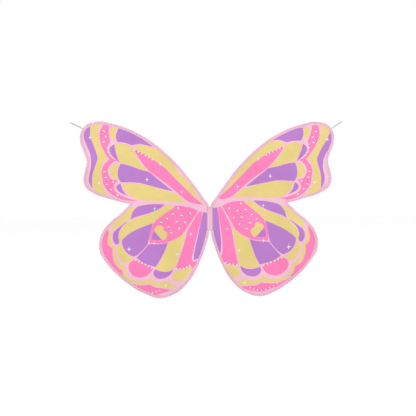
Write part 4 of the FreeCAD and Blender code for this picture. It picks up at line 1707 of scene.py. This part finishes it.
# ---- studio --------------------------------------------------------------------------------------


def soft_light(name, place, target, size, power):
    light = bpy.data.lights.new(name, "AREA")
    light.shape = "DISK"
    light.size = size
    light.energy = power
    lamp = bpy.data.objects.new(name, light)
    lamp.location = place
    lamp.rotation_euler = (Vector(target) - Vector(place)).to_track_quat("-Z", "Y").to_euler()
    bpy.context.collection.objects.link(lamp)


class MakeStudio(bpy.types.Operator):
    """Sets the camera, the pale floor and the soft lights"""

    bl_idname = "wings.studio"
    bl_label = "Studio"

    def execute(self, context):
        settings = context.scene.wing_studio
        scene = context.scene
        camera = bpy.data.cameras.new("camera")
        camera.sensor_width = 36
        camera.lens = 36 * settings.distance / settings.width
        camera.clip_end = 60
        holder = bpy.data.objects.new("camera", camera)
        aim = Vector((-0.005, WING_Y, 0.0326))
        away = Vector((-math.sin(settings.turn), -math.cos(settings.turn), 0.0))
        holder.location = aim + away * settings.distance
        facing = (-away).to_track_quat("-Z", "Y") @ Quaternion((0, 0, 1), settings.roll)
        holder.rotation_euler = facing.to_euler()
        scene.collection.objects.link(holder)
        scene.camera = holder

        bpy.ops.object.select_all(action="DESELECT")
        bpy.ops.mesh.primitive_plane_add(size=40, location=(0, 0, CAD_BOX[0][2] - 0.06))
        floor = context.active_object
        floor.name = "floor"
        material, _, shader = new_material("pale floor", Roughness=0.9, Specular_IOR_Level=0.1)
        shader.inputs["Base Color"].default_value = (0.985, 0.985, 0.985, 1)
        floor.data.materials.append(material)

        world = bpy.data.worlds.new("studio")
        world.use_nodes = True
        world.node_tree.nodes["Background"].inputs["Color"].default_value = (1, 1, 1, 1)
        world.node_tree.nodes["Background"].inputs["Strength"].default_value = 1.0
        scene.world = world
        middle = (0, WING_Y, 0.03)
        soft_light("key", (-1.3, -2.2, 1.7), middle, 1.6, 26)
        soft_light("fill", (1.7, -2.0, 0.7), middle, 1.8, 12)
        soft_light("back", (0.5, 2.4, 1.5), middle, 1.6, 18)
        scene.view_settings.view_transform = "Standard"
        return {"FINISHED"}


# ---- add-on --------------------------------------------------------------------------------------
SETTINGS = {
    "wing_cloth": WingClothSettings, "wing_trim": WingTrimSettings,
    "wing_elastic": WingElasticSettings, "wing_studio": WingStudioSettings,
}


class MakeFinishes(bpy.types.Operator):
    """Makes the satins, threads, elastics and metals"""

    bl_idname = "wings.finishes"
    bl_label = "Finishes"

    def execute(self, context):
        scene = context.scene
        make_materials(scene.wing_cloth, scene.wing_trim, scene.wing_elastic)
        return {"FINISHED"}


OPERATORS = [
    MakeStudio, MakeFinishes, MakeShoulderElastics, MakeFingerElastics, MakePrintedCloth, MakeLining,
    MakeBindings, MakeEdgeStitches, MakeSpine, MakeCushion, MakeTabs, MakeLabel, FinishInnerParts,
]


class WingPanel(bpy.types.Panel):
    """Lists the wings' pieces"""

    bl_idname = "VIEW3D_PT_wings"
    bl_label = "Fairy wings"
    bl_space_type = "VIEW_3D"
    bl_region_type = "UI"
    bl_category = "Wings"

    def draw(self, context):
        for name in SETTINGS:
            settings = getattr(context.scene, name)
            box = self.layout.box()
            for key in settings.bl_rna.properties.keys():
                if key not in ("rna_type", "name"):
                    box.prop(settings, key)
        for operator in OPERATORS:
            self.layout.operator(operator.bl_idname)


def register():
    for name, settings in SETTINGS.items():
        bpy.utils.register_class(settings)
        setattr(bpy.types.Scene, name, bpy.props.PointerProperty(type=settings))
    for made in [*OPERATORS, WingPanel]:
        bpy.utils.register_class(made)


def unregister():
    for made in reversed([*OPERATORS, WingPanel]):
        bpy.utils.unregister_class(made)
    for name, settings in SETTINGS.items():
        delattr(bpy.types.Scene, name)
        bpy.utils.unregister_class(settings)


def main():
    register()
    for operator in OPERATORS:
        group, name = operator.bl_idname.split(".")
        getattr(getattr(bpy.ops, group), name)()


if __name__ == "__main__":
    main()
